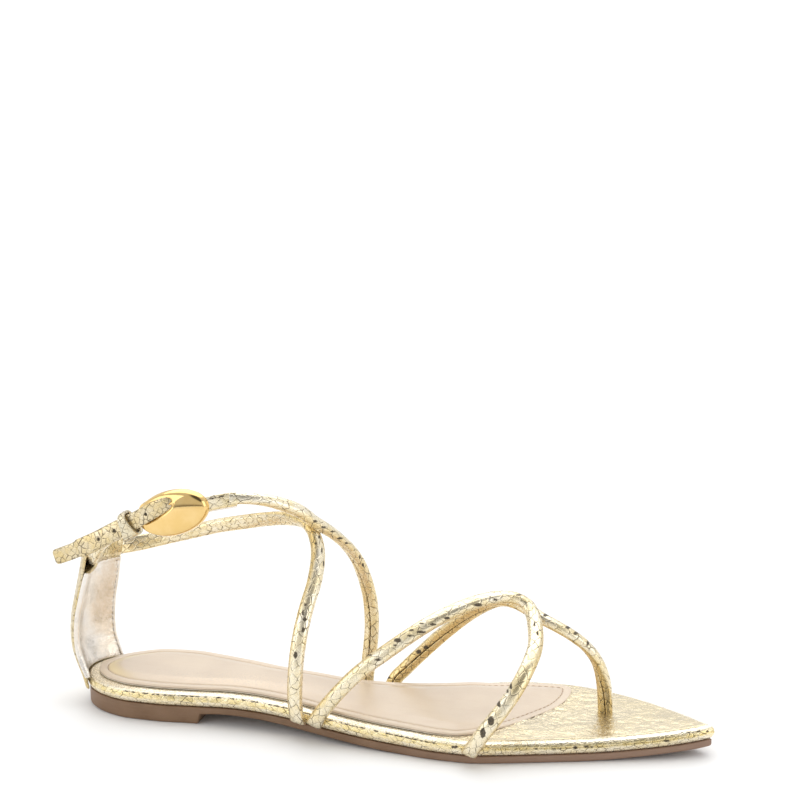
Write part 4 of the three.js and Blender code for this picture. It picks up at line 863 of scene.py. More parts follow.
def stacked(loop, layers):
    """Rings of a stack as one closed body: points, faces, ring index and loop distance of each corner."""
    n = len(loop[0]) - 1
    rings = []
    for inset, z in layers:
        xy = inset_ring(loop, inset)
        rings.append(np.column_stack([xy, z(xy[:, 0]) if callable(z) else np.full(len(xy), z)]))
    m = len(rings[0])
    verts = np.vstack(rings)
    faces = grid_faces(len(rings), m, wrap_m=True)
    outer = loop_points(*loop)
    d = np.concatenate([[0], np.cumsum(np.linalg.norm(np.diff(outer[:n + 1], axis=0), axis=1))])
    e = np.concatenate([[0], np.cumsum(np.linalg.norm(np.diff(np.vstack([outer[:1], outer[:n - 1:-1]]), axis=0), axis=1))])
    arc = np.concatenate([-d, e[-2:0:-1]]) if len(e) == n + 1 else np.concatenate([-d, np.linspace(e[-1], 0, m - n)[1:]])
    arc = arc[:m]
    caps = []
    for base, flip in ((0, True), ((len(rings) - 1) * m, False)):
        for i in range(n):
            l0, l1, m0, m1 = base + i, base + i + 1, base + (m - i) % m, base + (m - i - 1)
            quad = [l0, l1, m0] if i + 1 == n else [l0, l1, m1] if i == 0 else [l0, l1, m1, m0]
            caps.append(quad[::-1] if flip else quad)
    return verts, faces, caps, arc, m


def profile_lengths(verts, m, rings):
    side = verts.reshape(rings, m, 3)
    step = np.linalg.norm(np.diff(side, axis=0), axis=2)
    return np.vstack([np.zeros(m), np.cumsum(step, axis=0)])


def flat_piece(name, ring_sets, grid, inside, top, bottom, material, stands_for=(), points=None,
               wall=(0.0, 1.0), keep_bottom=True):
    """A sheet lying on the sole: points from offset rings and a grid, triangulated, with a top, a wall and a bottom.
    ring_sets: loops from the edge inwards; top(x, y, d) and bottom(x, y, d) give heights, d the edge distance."""
    edge = ring_sets[0]
    pts = np.vstack(ring_sets)
    gx, gy = np.meshgrid(*grid, indexing="ij")
    g = np.column_stack([gx.ravel(), gy.ravel()])
    d = edge_distance(g, edge)
    ok = inside(g) & (d > grid_room(ring_sets))
    pts = np.vstack([pts, g[ok]])
    n = len(edge)
    res = delaunay_2d_cdt([Vector(p) for p in pts.tolist()], [], [list(range(n))], 1, 1e-5, True)
    xy = np.array([list(p) for p in res[0]])
    tri = np.array([f for f in res[2] if len(f) == 3])
    a, b, c = xy[tri[:, 0]], xy[tri[:, 1]], xy[tri[:, 2]]
    area = (b[:, 0] - a[:, 0]) * (c[:, 1] - a[:, 1]) - (b[:, 1] - a[:, 1]) * (c[:, 0] - a[:, 0])
    tri = tri[np.abs(area) > 1e-9]
    area = area[np.abs(area) > 1e-9]
    tri[area < 0] = tri[area < 0][:, ::-1]
    tri = tri[in_loop(xy[tri].mean(1), edge)]                          # nothing across the waist's hollow side
    # border edges of the triangulation, in order
    e = np.vstack([tri[:, [0, 1]], tri[:, [1, 2]], tri[:, [2, 0]]])
    seen = {(int(p), int(q)) for p, q in e}
    border = [(p, q) for p, q in seen if (q, p) not in seen]
    d = edge_distance(xy, edge)
    d[[p for p, _ in border]] = 0
    zt, zb = top(xy[:, 0], xy[:, 1], d), bottom(xy[:, 0], xy[:, 1], d)
    k = len(xy)
    verts = [np.column_stack([xy, zt])]
    ids = {p: i for i, p in enumerate(sorted({p for p, _ in border} | {q for _, q in border}))}
    order = np.array(sorted(ids))
    layers = [0.25, 0.6]
    for w in layers:
        z = zt[order] * (1 - w) + zb[order] * w
        verts.append(np.column_stack([xy[order], z]))
    verts.append(np.column_stack([xy, zb]))
    nb = len(order)
    faces = [list(f) for f in tri]
    cut_top = k
    bottom0 = k + nb * len(layers)
    for p, q in border:
        i, j = ids[p], ids[q]
        chain = [(p, q), (cut_top + i, cut_top + j), (cut_top + nb + i, cut_top + nb + j), (bottom0 + p, bottom0 + q)]
        for (a0, b0), (a1, b1) in zip(chain, chain[1:]):
            faces.append([b0, a0, a1, b1])
    faces += [[bottom0 + f[2], bottom0 + f[1], bottom0 + f[0]] for f in tri]
    allv = np.vstack(verts)
    dist = np.concatenate([d, np.zeros(nb * len(layers)), d])
    cut = np.concatenate([np.zeros(k), np.ones(nb * len(layers)), np.ones(k)])
    foot = np.concatenate([np.zeros(k + nb), np.ones(nb), np.ones(k)])
    values = {"cut": cut, "foot": foot}
    for key, fn in (points or {}).items():
        values[key] = fn(allv[:, 0], allv[:, 1], dist) * (1 - cut)
    return build(name, allv, faces, material, points=values, stands_for=stands_for)


def edge_distance(p, loop):
    a, b = loop, np.roll(loop, -1, 0)
    ab = b - a
    ll = np.maximum((ab ** 2).sum(1), 1e-12)
    best = np.full(len(p), 1e9)
    for k in range(0, len(p), 3000):
        q = p[k:k + 3000]
        t = np.clip(((q[:, None, :] - a[None]) * ab[None]).sum(-1) / ll, 0, 1)
        near = a[None] + ab[None] * t[..., None]
        best[k:k + 3000] = np.sqrt(((q[:, None, :] - near) ** 2).sum(-1).min(1))
    return best


def grid_room(rings):
    return getattr(grid_room, "room", 1.0)


def in_loop(p, loop):
    x, y = p[:, 0], p[:, 1]
    inside = np.zeros(len(p), bool)
    a, b = loop, np.roll(loop, -1, 0)
    for (x0, y0), (x1, y1) in zip(a, b):
        cross = ((y0 > y) != (y1 > y)) & (x < (x1 - x0) * (y - y0) / (y1 - y0 + 1e-30) + x0)
        inside ^= cross
    return inside


def even_loop(pts, step):
    q = np.vstack([pts, pts[:1]])
    d = lengths(q)
    n = int(round(d[-1] / step))
    s = np.arange(n) * d[-1] / n
    return np.stack([np.interp(s, d, q[:, 0]), np.interp(s, d, q[:, 1])], 1)


def drawn_in(loop, inset):
    """Offset of an even loop, without the points that would fold back."""
    tan = unit(np.roll(loop, -1, 0) - np.roll(loop, 1, 0))
    q = loop + np.stack([-tan[:, 1], tan[:, 0]], 1) * inset
    return q[edge_distance(q, loop) > inset - 0.03]


# ---- heel counter -----------------------------------------------------------------------------------
counter_back = Track(*zip(*COUNTER_BACK))
sweep_lat = Track([r[0] for r in COUNTER_SWEEP], [r[1] for r in COUNTER_SWEEP])
sweep_med = Track([r[0] for r in COUNTER_SWEEP], [r[2] for r in COUNTER_SWEEP])


def spaced(total, step, fine=(0, .07, .18, .36, .6, .9, 1.3)):
    mid = np.linspace(fine[-1], total - fine[-1], max(2, int((total - 2 * fine[-1]) / step) + 1))[1:-1]
    return np.concatenate([fine, mid, total - np.array(fine[::-1])])


def counter_sheet(name, section, half, material, stands_for=(), step=0.55, bumps=None, trim=0.0, marks=(),
                  bead=None):
    """A leather sheet bent round the heel. section: (r, z) from its lower edge; half: half its thickness."""
    c = centripetal([(r, z, 0) for r, z in section], 30)[:, :2]
    d = lengths(c)
    s = spaced(d[-1], step)
    r, z = np.interp(s, d, c[:, 0]), np.interp(s, d, c[:, 1])
    for _ in range(3):
        r[1:-1] = (r[:-2] + 2 * r[1:-1] + r[2:]) / 4
    width = math.radians(98) * COUNTER_RADIUS
    g = spaced(width, step) / width
    S, G = np.meshgrid(s, g, indexing="ij")
    R, Z = np.meshgrid(r, g, indexing="ij")[0], np.meshgrid(z, g, indexing="ij")[0]
    a0, a1 = sweep_lat(Z) + trim, sweep_med(Z) - trim
    ang = np.radians(a0 + (a1 - a0) * G)
    radius = COUNTER_RADIUS + R
    P = np.stack([counter_back(Z) + COUNTER_RADIUS - radius * np.cos(ang), COUNTER_Y + radius * np.sin(ang), Z], -1)
    N = unit(np.cross(np.gradient(P, axis=0), np.gradient(P, axis=1)))
    if (N[len(s) // 4, :, 0].mean()) > 0:
        N = -N
    arc = G * width
    e = np.minimum(np.minimum(S, d[-1] - S), np.minimum(arc, width - arc))
    f = np.sqrt(np.clip(1 - (1 - np.minimum(e / half, 1)) ** 2, 0, 1))
    lift = bumps(S, arc, d[-1], width, Z) if bumps else 0.0
    front = P + N * ((half + (bead(arc, width) if bead else 0.0)) * f)[..., None]
    backp = P - N * ((half + lift) * f)[..., None]
    n, m = len(s), len(g)
    ids = np.arange(n * m).reshape(n, m)
    inner = np.zeros((n, m), bool)
    inner[1:-1, 1:-1] = True
    back_ids = ids.copy()
    back_ids[inner] = n * m + np.arange(inner.sum())
    verts = np.vstack([front.reshape(-1, 3), backp[inner]])
    q = np.stack([ids[:-1, :-1], ids[:-1, 1:], ids[1:, 1:], ids[1:, :-1]], -1).reshape(-1, 4)
    qb = np.stack([back_ids[:-1, :-1], back_ids[1:, :-1], back_ids[1:, 1:], back_ids[:-1, 1:]], -1).reshape(-1, 4)
    su, sv = S.ravel(), arc.ravel()
    cf = np.stack([su[q], sv[q]], -1).reshape(-1, 2)
    ib = np.stack([ids[:-1, :-1], ids[1:, :-1], ids[1:, 1:], ids[:-1, 1:]], -1).reshape(-1, 4)
    cb = np.stack([su[ib], sv[ib] + 60], -1).reshape(-1, 2)
    spot = np.full((n, m), 3.0)
    for mu, mv, a, b, turn in marks:
        ca, sa = math.cos(math.radians(turn)), math.sin(math.radians(turn))
        du, dv = S - mu, arc - mv
        k = np.sqrt(((du * ca + dv * sa) / a) ** 2 + ((dv * ca - du * sa) / b) ** 2)
        spot = np.minimum(spot, (k - 1) * min(a, b))
    values = {"spot": np.concatenate([spot.ravel(), np.full(int(inner.sum()), 3.0)])}
    o = build(name, verts, np.vstack([q, qb]), material, points=values, corners=np.vstack([cf, cb]),
              stands_for=stands_for)
    return o, (P, N, S, arc)


# ---- stitches ------------------------------------------------------------------------------------------
def stitches(name, path, normal, material, length=2.1, space=0.75, radius=0.17, sink=0.05, stands_for=()):
    """A row of thread stitches along a path, each a short arched roll, joined in one mesh."""
    d = lengths(path)
    n = int(d[-1] / (length + space))
    pitch = d[-1] / n
    sides, rings = 7, 7
    verts, faces = [], []
    t = np.linspace(0, 1, rings)
    body = np.sin(np.pi * np.clip(t, 0.035, 0.965)) ** 0.45
    ang = np.arange(sides) * 2 * np.pi / sides
    for k in range(n):
        s = k * pitch + space / 2 + t * (pitch - space)
        c = np.stack([np.interp(s, d, path[:, j]) for j in range(3)], 1)
        nn = unit(np.stack([np.interp(s, d, normal[:, j]) for j in range(3)], 1))
        tt = unit(np.gradient(c, axis=0))
        bb = unit(np.cross(tt, nn))
        c = c + nn * (radius * 0.9 * np.sin(np.pi * t) - sink)[:, None]
        ring = (c[:, None, :] + bb[:, None, :] * (np.cos(ang)[None, :, None] * radius * body[:, None, None])
                + nn[:, None, :] * (np.sin(ang)[None, :, None] * radius * body[:, None, None]))
        base = len(verts) * (rings * sides + 2)
        verts.append(np.vstack([ring.reshape(-1, 3), c[:1] - tt[:1] * 0.05, c[-1:] + tt[-1:] * 0.05]))
        q = grid_faces(rings, sides, wrap_m=True, base=base)
        faces += [list(f) for f in q]
        lo, hi = base + rings * sides, base + rings * sides + 1
        last = base + (rings - 1) * sides
        for j in range(sides):
            faces.append([lo, base + (j + 1) % sides, base + j])
            faces.append([hi, last + j, last + (j + 1) % sides])
    return build(name, np.vstack(verts), faces, material, stands_for=stands_for)


# ---- outsole -------------------------------------------------------------------------------------------
rim_loop = outline_loop(OUTLINE, extra=(55.35, 55.5, 56.5, 56.65))


def sole_level(part):
    return lambda x: under_z(x) + (joint_z(x) - GAP / 2 - 0.35 - under_z(x)) * part


layers = [(OUTSOLE_INSET + 2.2, under_z), (OUTSOLE_INSET + 1.1, under_z), (OUTSOLE_INSET + 0.55, lambda x: under_z(x) + 0.12),
          (OUTSOLE_INSET + 0.2, lambda x: under_z(x) + 0.42), (OUTSOLE_INSET + 0.05, lambda x: under_z(x) + 0.85)]
layers += [(OUTSOLE_INSET, lambda x, k=k: under_z(x) + 0.95 + (joint_z(x) - GAP / 2 - 0.35 - under_z(x) - 0.95) * k)
           for k in (0.15, 0.35, 0.55, 0.75, 0.92, 1.0)]
layers += [(OUTSOLE_INSET + 0.12, lambda x: joint_z(x) - GAP / 2 - 0.12), (OUTSOLE_INSET + 0.45, lambda x: joint_z(x) - GAP / 2)]
verts, faces, caps, arc, m = stacked(rim_loop, layers)
under_mark = np.zeros(len(verts))
under_mark[:m * 2] = 1.0
build("outsole_moulded", verts, [list(f) for f in faces] + caps, OUTSOLE, points={"under": under_mark},
      stands_for=("outsole",))

# ---- wrapped rim ---------------------------------------------------------------------------------------
RIM_PROFILE = [(2.6, 0.12), (1.7, 0.15), (1.0, 0.55), (0.5, 1.3), (0.14, 2.1), (0, 2.9), (0.12, 3.7), (0.48, 4.4),
               (0.98, 4.95), (1.55, 5.30), (2.0, 5.47), (2.35, 5.40), (2.6, 5.46), (3.0, 5.58), (3.6, 5.6), (5.6, 5.6)]
prof = centripetal([(a, b, 0) for a, b in RIM_PROFILE], 8)[:, :2]
pd = lengths(prof)
ps = np.sort(np.concatenate([np.linspace(0, pd[-1], 44), np.arange(4.3, 6.9, 0.12)]))
prof = np.stack([np.interp(ps, pd, prof[:, k]) for k in range(2)], 1)
layers = [(a, lambda x, b=b: joint_z(x) + b) for a, b in prof]
verts, faces, caps, arc, m = stacked(rim_loop, layers)
rings = len(layers)
around = np.tile(arc, (rings, 1))
up_rim = np.tile(ps[:, None], (1, m))
shell = verts.reshape(rings, m, 3)
nrm = unit(np.cross(np.gradient(shell, axis=1), np.gradient(shell, axis=0)))
if nrm[rings // 3, m // 4, 1] > 0:
    nrm = -nrm
live = (smooth(up_rim, 0.4, 1.6) * (1 - smooth(up_rim, 6.6, 8.0)))
bumpy = 0.035 * waves(around / 4.2, up_rim / 2.8 + 11, 3) + 0.014 * waves(around / 1.3, up_rim / 3.0 + 31, 2)
turn_track = Track([-400, -222, -182, -140, 140, 182, 222, 400], [4.6, 4.6, 5.3, 6.25, 6.25, 5.3, 4.6, 4.6])
seam_line = turn_track(around)                                      # where the wrap's edge is turned in
groove = -0.26 * np.exp(-((up_rim - seam_line) / 0.20) ** 2) + 0.10 * np.exp(-((up_rim - seam_line + 0.55) / 0.30) ** 2)
shell = shell + nrm * ((bumpy + groove) * live)[..., None]
verts = shell.reshape(-1, 3)
cf = np.stack([around.ravel()[faces], up_rim.ravel()[faces]], -1)
wrap = np.abs(cf[:, 0, 0] - cf[:, 1, 0]) > 50
cf[wrap, 1:3, 0] = cf[wrap, 0:1, 0] + np.sign(cf[wrap, 0:1, 0]) * 0.8
cap_c = [[(verts[i, 0], verts[i, 1] + 200.0) for i in f] for f in caps]
corners = np.concatenate([cf.reshape(-1, 2)] + [np.array(c) for c in cap_c])
RIM_MARKS = [(-180.5, 5.1, 1.35, .59, -7), (-227.8, 4.6, .86, .7, 9), (-231.9, 4.8, .86, .47, 3), (-234.2, 4.6, .66, .40, 5),
             (-263.9, 4.3, 1.4, .36, 8), (-270.2, 6.9, .47, .34, 9), (-272.7, 6.4, .75, .29, 10), (-276.8, 6.1, .84, .42, 11),
             (-280.7, 5.3, .61, .33, 13), (-219.4, 4.3, .79, .32, 2), (-212.3, 4.6, .66, .30, 2), (-222.0, 4.3, .46, .28, 4)]
dashes = np.random.default_rng(5)
place_u = -38.0
while place_u > -176.0:                                             # small dark dashes along the turned-in line
    half = 0.65 + 0.65 * dashes.random()
    if dashes.random() < (0.92 if place_u > -112 else 0.6):
        RIM_MARKS.append((place_u, float(turn_track(place_u)) + 0.16 * (dashes.random() - 0.5), half, 0.24 + 0.1 * dashes.random(), 4 * dashes.random()))
    place_u -= 2 * half + 0.35 + 0.9 * dashes.random()
place_u = 40.0
while place_u < 250.0:
    half = 0.45 + 0.65 * dashes.random()
    if dashes.random() < 0.6:
        RIM_MARKS.append((place_u, float(turn_track(place_u)), half, 0.28, 0.0))
    place_u += 2 * half + 1.0 + 2.0 * dashes.random()
spot = np.full((rings, m), 3.0)
for mu, mv, a, b, turn in RIM_MARKS:
    cols = np.where(np.abs(arc - mu) < 4 * a + 2)[0]
    du, dv = arc[cols][None, :] - mu, ps[:, None] - mv
    ca, sa = math.cos(math.radians(turn)), math.sin(math.radians(turn))
    e = np.sqrt(((du * ca + dv * sa) / a) ** 2 + ((dv * ca - du * sa) / b) ** 2)
    spot[:, cols] = np.minimum(spot[:, cols], (e - 1) * min(a, b))
spot = spot.ravel()
build("wrapped_rim", verts, [list(f) for f in faces] + caps, RIM_FOIL, points={"spot": spot}, corners=corners,
      stands_for=("midsole",))

# ---- toe cover, crinkled leather inside the rim's bead ---------------------------------------------------
even_rim = even_loop(loop_points(*rim_loop), 0.7)
toe_edge = drawn_in(even_rim, 2.75)
toe_loop = toe_edge[toe_edge[:, 0] > 150.0]
toe_loop = np.roll(toe_edge, -int(np.argmax(np.linalg.norm(np.diff(toe_edge, axis=0), axis=1))) - 1, axis=0)


def front_part(loop, x_min):
    """The part of a closed loop in front of x_min, closed by a straight line."""
    keep = loop[:, 0] > x_min
    k = int(np.argmax(np.diff(np.concatenate([[keep[-1]], keep]).astype(int)) == 1))
    turned = np.roll(loop, -k, axis=0)
    part = turned[turned[:, 0] > x_min]
    a, b = part[-1], part[0]
    n = int(np.linalg.norm(b - a) / 1.2)
    line = a + (b - a) * (np.arange(1, n) / n)[:, None]
    return np.vstack([part, line])


toe_outer = front_part(drawn_in(even_rim, 2.75), 156.0)
toe_rings = [toe_outer] + [drawn_in(even_loop(toe_outer, 0.7), k) for k in (0.25, 0.6, 1.1)]
grid_room.room = 1.5


def toe_top(x, y, d):
    z = joint_z(x) + 5.42 + 0.42 * np.sqrt(np.clip(1 - (1 - np.clip(d / 0.5, 0, 1)) ** 2, 0, 1))
    near = np.exp(-np.clip(sock_gap(x, y), 0, 60) / 9.0)
    crinkle = (0.12 + 0.20 * near) * waves(x / 4.4 + y / 8.0, y / 3.4 - x / 9.0, 4)
    sharp = 1 - np.abs(waves(x / 6.4 + 9, y / 5.6 + 3, 3))
    crinkle = crinkle - (0.12 + 0.16 * near) * np.clip(sharp - 0.80, 0, 1) / 0.20
    return z + crinkle * smooth(d, 0.3, 2.5) + 0.25 * smooth(d, 0, 9)


sock_line = Track([r[0] for r in SOCK[14:]], [r[1] for r in SOCK[14:]])
sock_outline = loop_points(*outline_loop(SOCK, n=200))


def sock_gap(x, y):
    """Distance from the sock's front edge."""
    p = np.column_stack([x, y])
    return edge_distance(p, sock_outline)


gx = np.arange(156.3, 263, 0.62)
gy = np.arange(-38, 42, 0.62)
build_toe = flat_piece("toe_cover", toe_rings, (gx, gy), lambda g: in_loop(g, toe_outer), toe_top,
                       lambda x, y, d: joint_z(x) + 5.2, TOE_FOIL,
                       points={"near": lambda x, y, d: np.exp(-sock_gap(x, y) / 10.0)})

# ---- sock ------------------------------------------------------------------------------------------------
sock_even = even_loop(sock_outline, 0.6)
sock_rings = [sock_even] + [drawn_in(sock_even, k) for k in
                            (0.15, 0.35, 0.7, 1.2, 1.9, 2.6, 3.05, 3.3, 3.5, 3.7, 3.95, 4.4, 5.2, 6.2)]
grid_room.room = 7.0
PAD_Z = RIM_HEIGHT + GAP


def sock_top(x, y, d):
    thin = smooth(x + 0.42 * (y + 20), 176, 192)                      # the front end is skived
    edge = (0.75 - 0.55 * thin) + (0.85 - 0.45 * thin) * np.sqrt(np.clip(1 - (1 - np.clip(d / 0.9, 0, 1)) ** 2, 0, 1))
    groove = (-0.46 * np.exp(-((d - 3.5) / 0.24) ** 2) - 0.22 * np.exp(-((d - 3.5) / 0.85) ** 2)) * (1 - 0.55 * thin)
    pad = 0.95 * smooth(d, 3.5, 9.5) + 0.22 * smooth(d, 6, 20)
    heel = -0.45 * np.exp(-(((x - 38) / 22) ** 2 + ((y - 2) / 13) ** 2))
    ball = -0.35 * np.exp(-(((x - 168) / 16) ** 2 + ((y + 6) / 16) ** 2))
    arch = 0.35 * np.exp(-(((x - 96) / 26) ** 2 + ((y + 4) / 12) ** 2))
    pull = 0.10 * waves(x / 17.0, y / 9.0 + 4, 2) * smooth(d, 3.8, 8)
    return joint_z(x) + PAD_Z + edge + groove + pad + heel + ball + arch + pull - 0.15


sx = np.arange(6, 202, 1.15)
sy = np.arange(-33, 37, 1.15)
flat_piece("sock_pad", sock_rings, (sx, sy), lambda g: in_loop(g, sock_even), sock_top,
           lambda x, y, d: joint_z(x) + PAD_Z + 0.02, SOCK_LEATHER, stands_for=("insole",),
           points={"border": lambda x, y, d: 1 - smooth(d, 3.2, 3.8),
                   # painted reflection: the patch of silvery sheen on the pad's outer side
                   "painted_sheen_patch": lambda x, y, d: np.exp(-(((x - 70) / 34) ** 2 + ((y + 9.0) / 6.5) ** 2)) * smooth(d, 3.4, 4.4),
                   "heel_tint": lambda x, y, d: (1 - smooth(x, 12, 30)) * smooth(d, 3.4, 4.2) * (1 - smooth(d, 5, 10))})
line = drawn_in(sock_even, 3.5)
line = even_loop(line, 0.5)
line = np.vstack([line, line[:1]])
zt = sock_top(line[:, 0], line[:, 1], np.full(len(line), 3.5))
stitches("sock_stitches", np.column_stack([line, zt + 0.12]), np.tile([0.0, 0, 1], (len(line), 1)), BEIGE_THREAD,
         length=1.9, space=0.7, radius=0.15)

# ---- heel counter ------------------------------------------------------------------------------------------
outer_section = [(0.72, 7.4), (0.72, 14), (0.72, 24), (0.72, 34), (0.72, 45), (0.72, 55), (0.72, 61.5), (0.5, 64.6),
                 (-0.7, 66.6), (-2.2, 67.0), (-3.7, 66.2), (-4.55, 64.0), (-4.6, 61.8), (-4.1, 59.6), (-2.6, 58.0),
                 (-0.85, 56.9), (-0.35, 55.4)]
lining_section = [(-0.72, 12.4), (-0.74, 22), (-0.76, 32), (-0.8, 45), (-0.92, 52), (-1.15, 55.8), (-1.5, 57.4)]
counter_outer, sheet = counter_sheet("counter_outer", outer_section, 0.62, FINE_FOIL, trim=3.2,
                                     stands_for=("heel_counter",))


def lining_bumps(S, arc, long, width, Z):
    """Gathers along both upright edges and a soft padded middle."""
    side = np.minimum(arc, width - arc)
    gather = 0.24 * np.exp(-((side - 1.9) / 0.8) ** 2) * np.clip(wave(S / 0.85, arc * 0 + 3.0 + (arc > width / 2) * 9) , -0.6, 1)
    fold = -0.30 * np.exp(-((side - 1.55) / 0.24) ** 2) + 0.34 * np.exp(-((side - 0.85) / 0.42) ** 2)
    under = -0.15 * np.exp(-((long - S - 2.1) / 0.3) ** 2)
    soft = 0.16 * waves(S / 7.5, arc / 6.0 + 8, 3)
    return 0.42 * smooth(side, 1.2, 3.4) + 0.30 * smooth(side, 3, 9) + gather + fold + under + soft * smooth(side, 1, 4)


def lining_fold(arc, width):
    """The lining is turned over the upright edges as a small soft fold."""
    side = np.minimum(arc, width - arc)
    return 1.15 * (1 - smooth(side, 0.75, 1.35))


lining_piece, (LP, LN, LS, LA) = counter_sheet("counter_lining", lining_section, 0.55, LINING,
                                               bumps=lining_bumps, trim=0.0, bead=lining_fold)
rows, cols = LS.shape
seam_k = int(np.argmin(np.abs(LS[:, 0] - (LS[-1, 0] - 2.1))))
inside_path = LP[seam_k] - LN[seam_k] * 0.72
stitches("counter_top_stitches", inside_path[6:-6], -LN[seam_k][6:-6], DARK_THREAD, length=1.5,
         space=0.6, radius=0.13)
for label, col in (("outer", int(np.argmin(np.abs(LA[0] - 1.25)))), ("inner", int(np.argmin(np.abs(LA[0] - (LA[0, -1] - 1.25)))))):
    path = LP[:, col] - LN[:, col] * 0.62
    stitches("counter_%s_stitches" % label, path[6:seam_k - 2], -LN[6:seam_k - 2, col], DARK_THREAD,
             length=1.6, space=0.7, radius=0.12)

# ---- straps ------------------------------------------------------------------------------------------------
ANKLE_OUTER_MARKS = [
    (54.5, .7, .74, .54, 25), (51.3, .7, 1.09, .48, 19), (49.1, -.7, .84, .80, 50), (45.0, -1.1, 1.08, .68, 16),
    (35.1, 0, 1.39, .83, 9), (78.8, 0, 1.42, .44, 1), (73.4, -1.8, 1.36, .54, 12), (81.5, 2.6, .63, .42, 0),
    (84.2, .7, .92, .57, -35)]
ANKLE_INNER_MARKS = [
    (96.9, 2.6, 1.21, .49, 27), (91.9, 2.9, 1.36, .49, 24), (87.4, 2.9, 1.11, .42, 26), (82.5, 3.7, 1.39, .51, 31),
    (78.4, 3.7, 1.04, .43, 33), (68.5, 4.0, .95, .50, -37), (64.0, 4.8, 1.03, .52, -24)]
TOE_OUTER_MARKS = [
    (92.3, -3.7, 2.02, .76, -23), (99.9, -3.7, 1.05, .41, -12), (78.8, -3.3, 1.23, .62, -34), (72.9, -2.6, 1.50, .52, -34),
    (69.3, .4, .91, .44, -44), (67.5, -2.6, 1.91, .59, -37), (64.8, .4, 1.07, .49, -44), (63.0, -1.1, 1.02, .45, -38),
    (58.1, .4, 1.62, .86, -42), (56.3, -.7, .81, .38, -38), (47.7, -1.1, 1.33, .57, -37), (126.9, -.7, 1.32, .40, -3),
    (131.9, .4, 1.22, .47, -2), (158.4, -2.6, 1.60, .64, 46), (160.7, -2.6, .95, .54, 55), (166.5, -3.3, 2.08, .94, 69),
    (173.3, -1.1, 1.83, 1.3, 45), (178.7, -.7, 1.99, 1.1, 38), (110.3, -1.1, 1.46, .49, 38), (45.9, 2.9, 1.32, .45, -56)]
TOE_INNER_MARKS = [
    (100.5, -.7, 1.89, .79, 68), (110.4, -.7, 2.2, .79, 67), (114.0, -1.5, 1.79, .72, 59), (119.8, -2.6, 1.36, .62, -76),
    (34.2, -7.9, 1.10, .91, -20), (30.2, -7.3, 1.31, .95, -31), (12.6, -5.9, 1.16, .43, -74)]
strap("ankle_outer_strap", ANKLE_OUTER, seam=((0, 1), (.36, 1), (.40, 0), (1, 0)), seed=1.0, material=ANKLE_FOIL, stands_for=("ankle_straps",),
      pucker=((4, 9, .8),), marks=ANKLE_OUTER_MARKS)
strap("ankle_inner_strap", ANKLE_INNER, seed=2.0, material=CROSS_FOIL, mouth=True, pucker=((4, 9, .8),), marks=ANKLE_INNER_MARKS)
strap("bar_tab_front", BAR_TAB, lift=0.90, seam=((0, 0), (1, 0)), seed=3.0, marks=[(5.6, -2.2, 1.0, .45, 10), (9.0, -2.0, 1.3, .4, -5), (3.2, .6, .5, .4, 0)])
strap("bar_tab_back", [(x, y, z - 0.75, w, t, f) for x, y, z, w, t, f in BAR_TAB], lift=-0.80, seam=((0, 0), (1, 0)),
      seed=3.5, material=LINING)
strap("strap_tail", TAIL, seam=((0, 0), (1, 0)), seed=4.0, start_round=True, material=FINE_FOIL,
      holes=((23.2, 0.72), (31.2, 0.72), (47.9, 0.72)), edge_line=2.75)
strap("toe_outer_strap", TOE_OUTER, seed=5.0, stands_for=("forefoot_straps",), pucker=((4, 9, .8), (205, 216, .8)),
      marks=TOE_OUTER_MARKS)
strap("toe_inner_strap", TOE_INNER, seed=6.0, pucker=((4, 9, .8), (150, 190, 1.0)), marks=TOE_INNER_MARKS)

# ---- keeper --------------------------------------------------------------------------------------------------
KEEP = np.array([29.6, -25.7, 83.7])
k_along = unit(np.array([0.86, 0, 0.51]))
k_out = np.array([0.0, -1, 0])
k_side = np.cross(k_along, k_out)


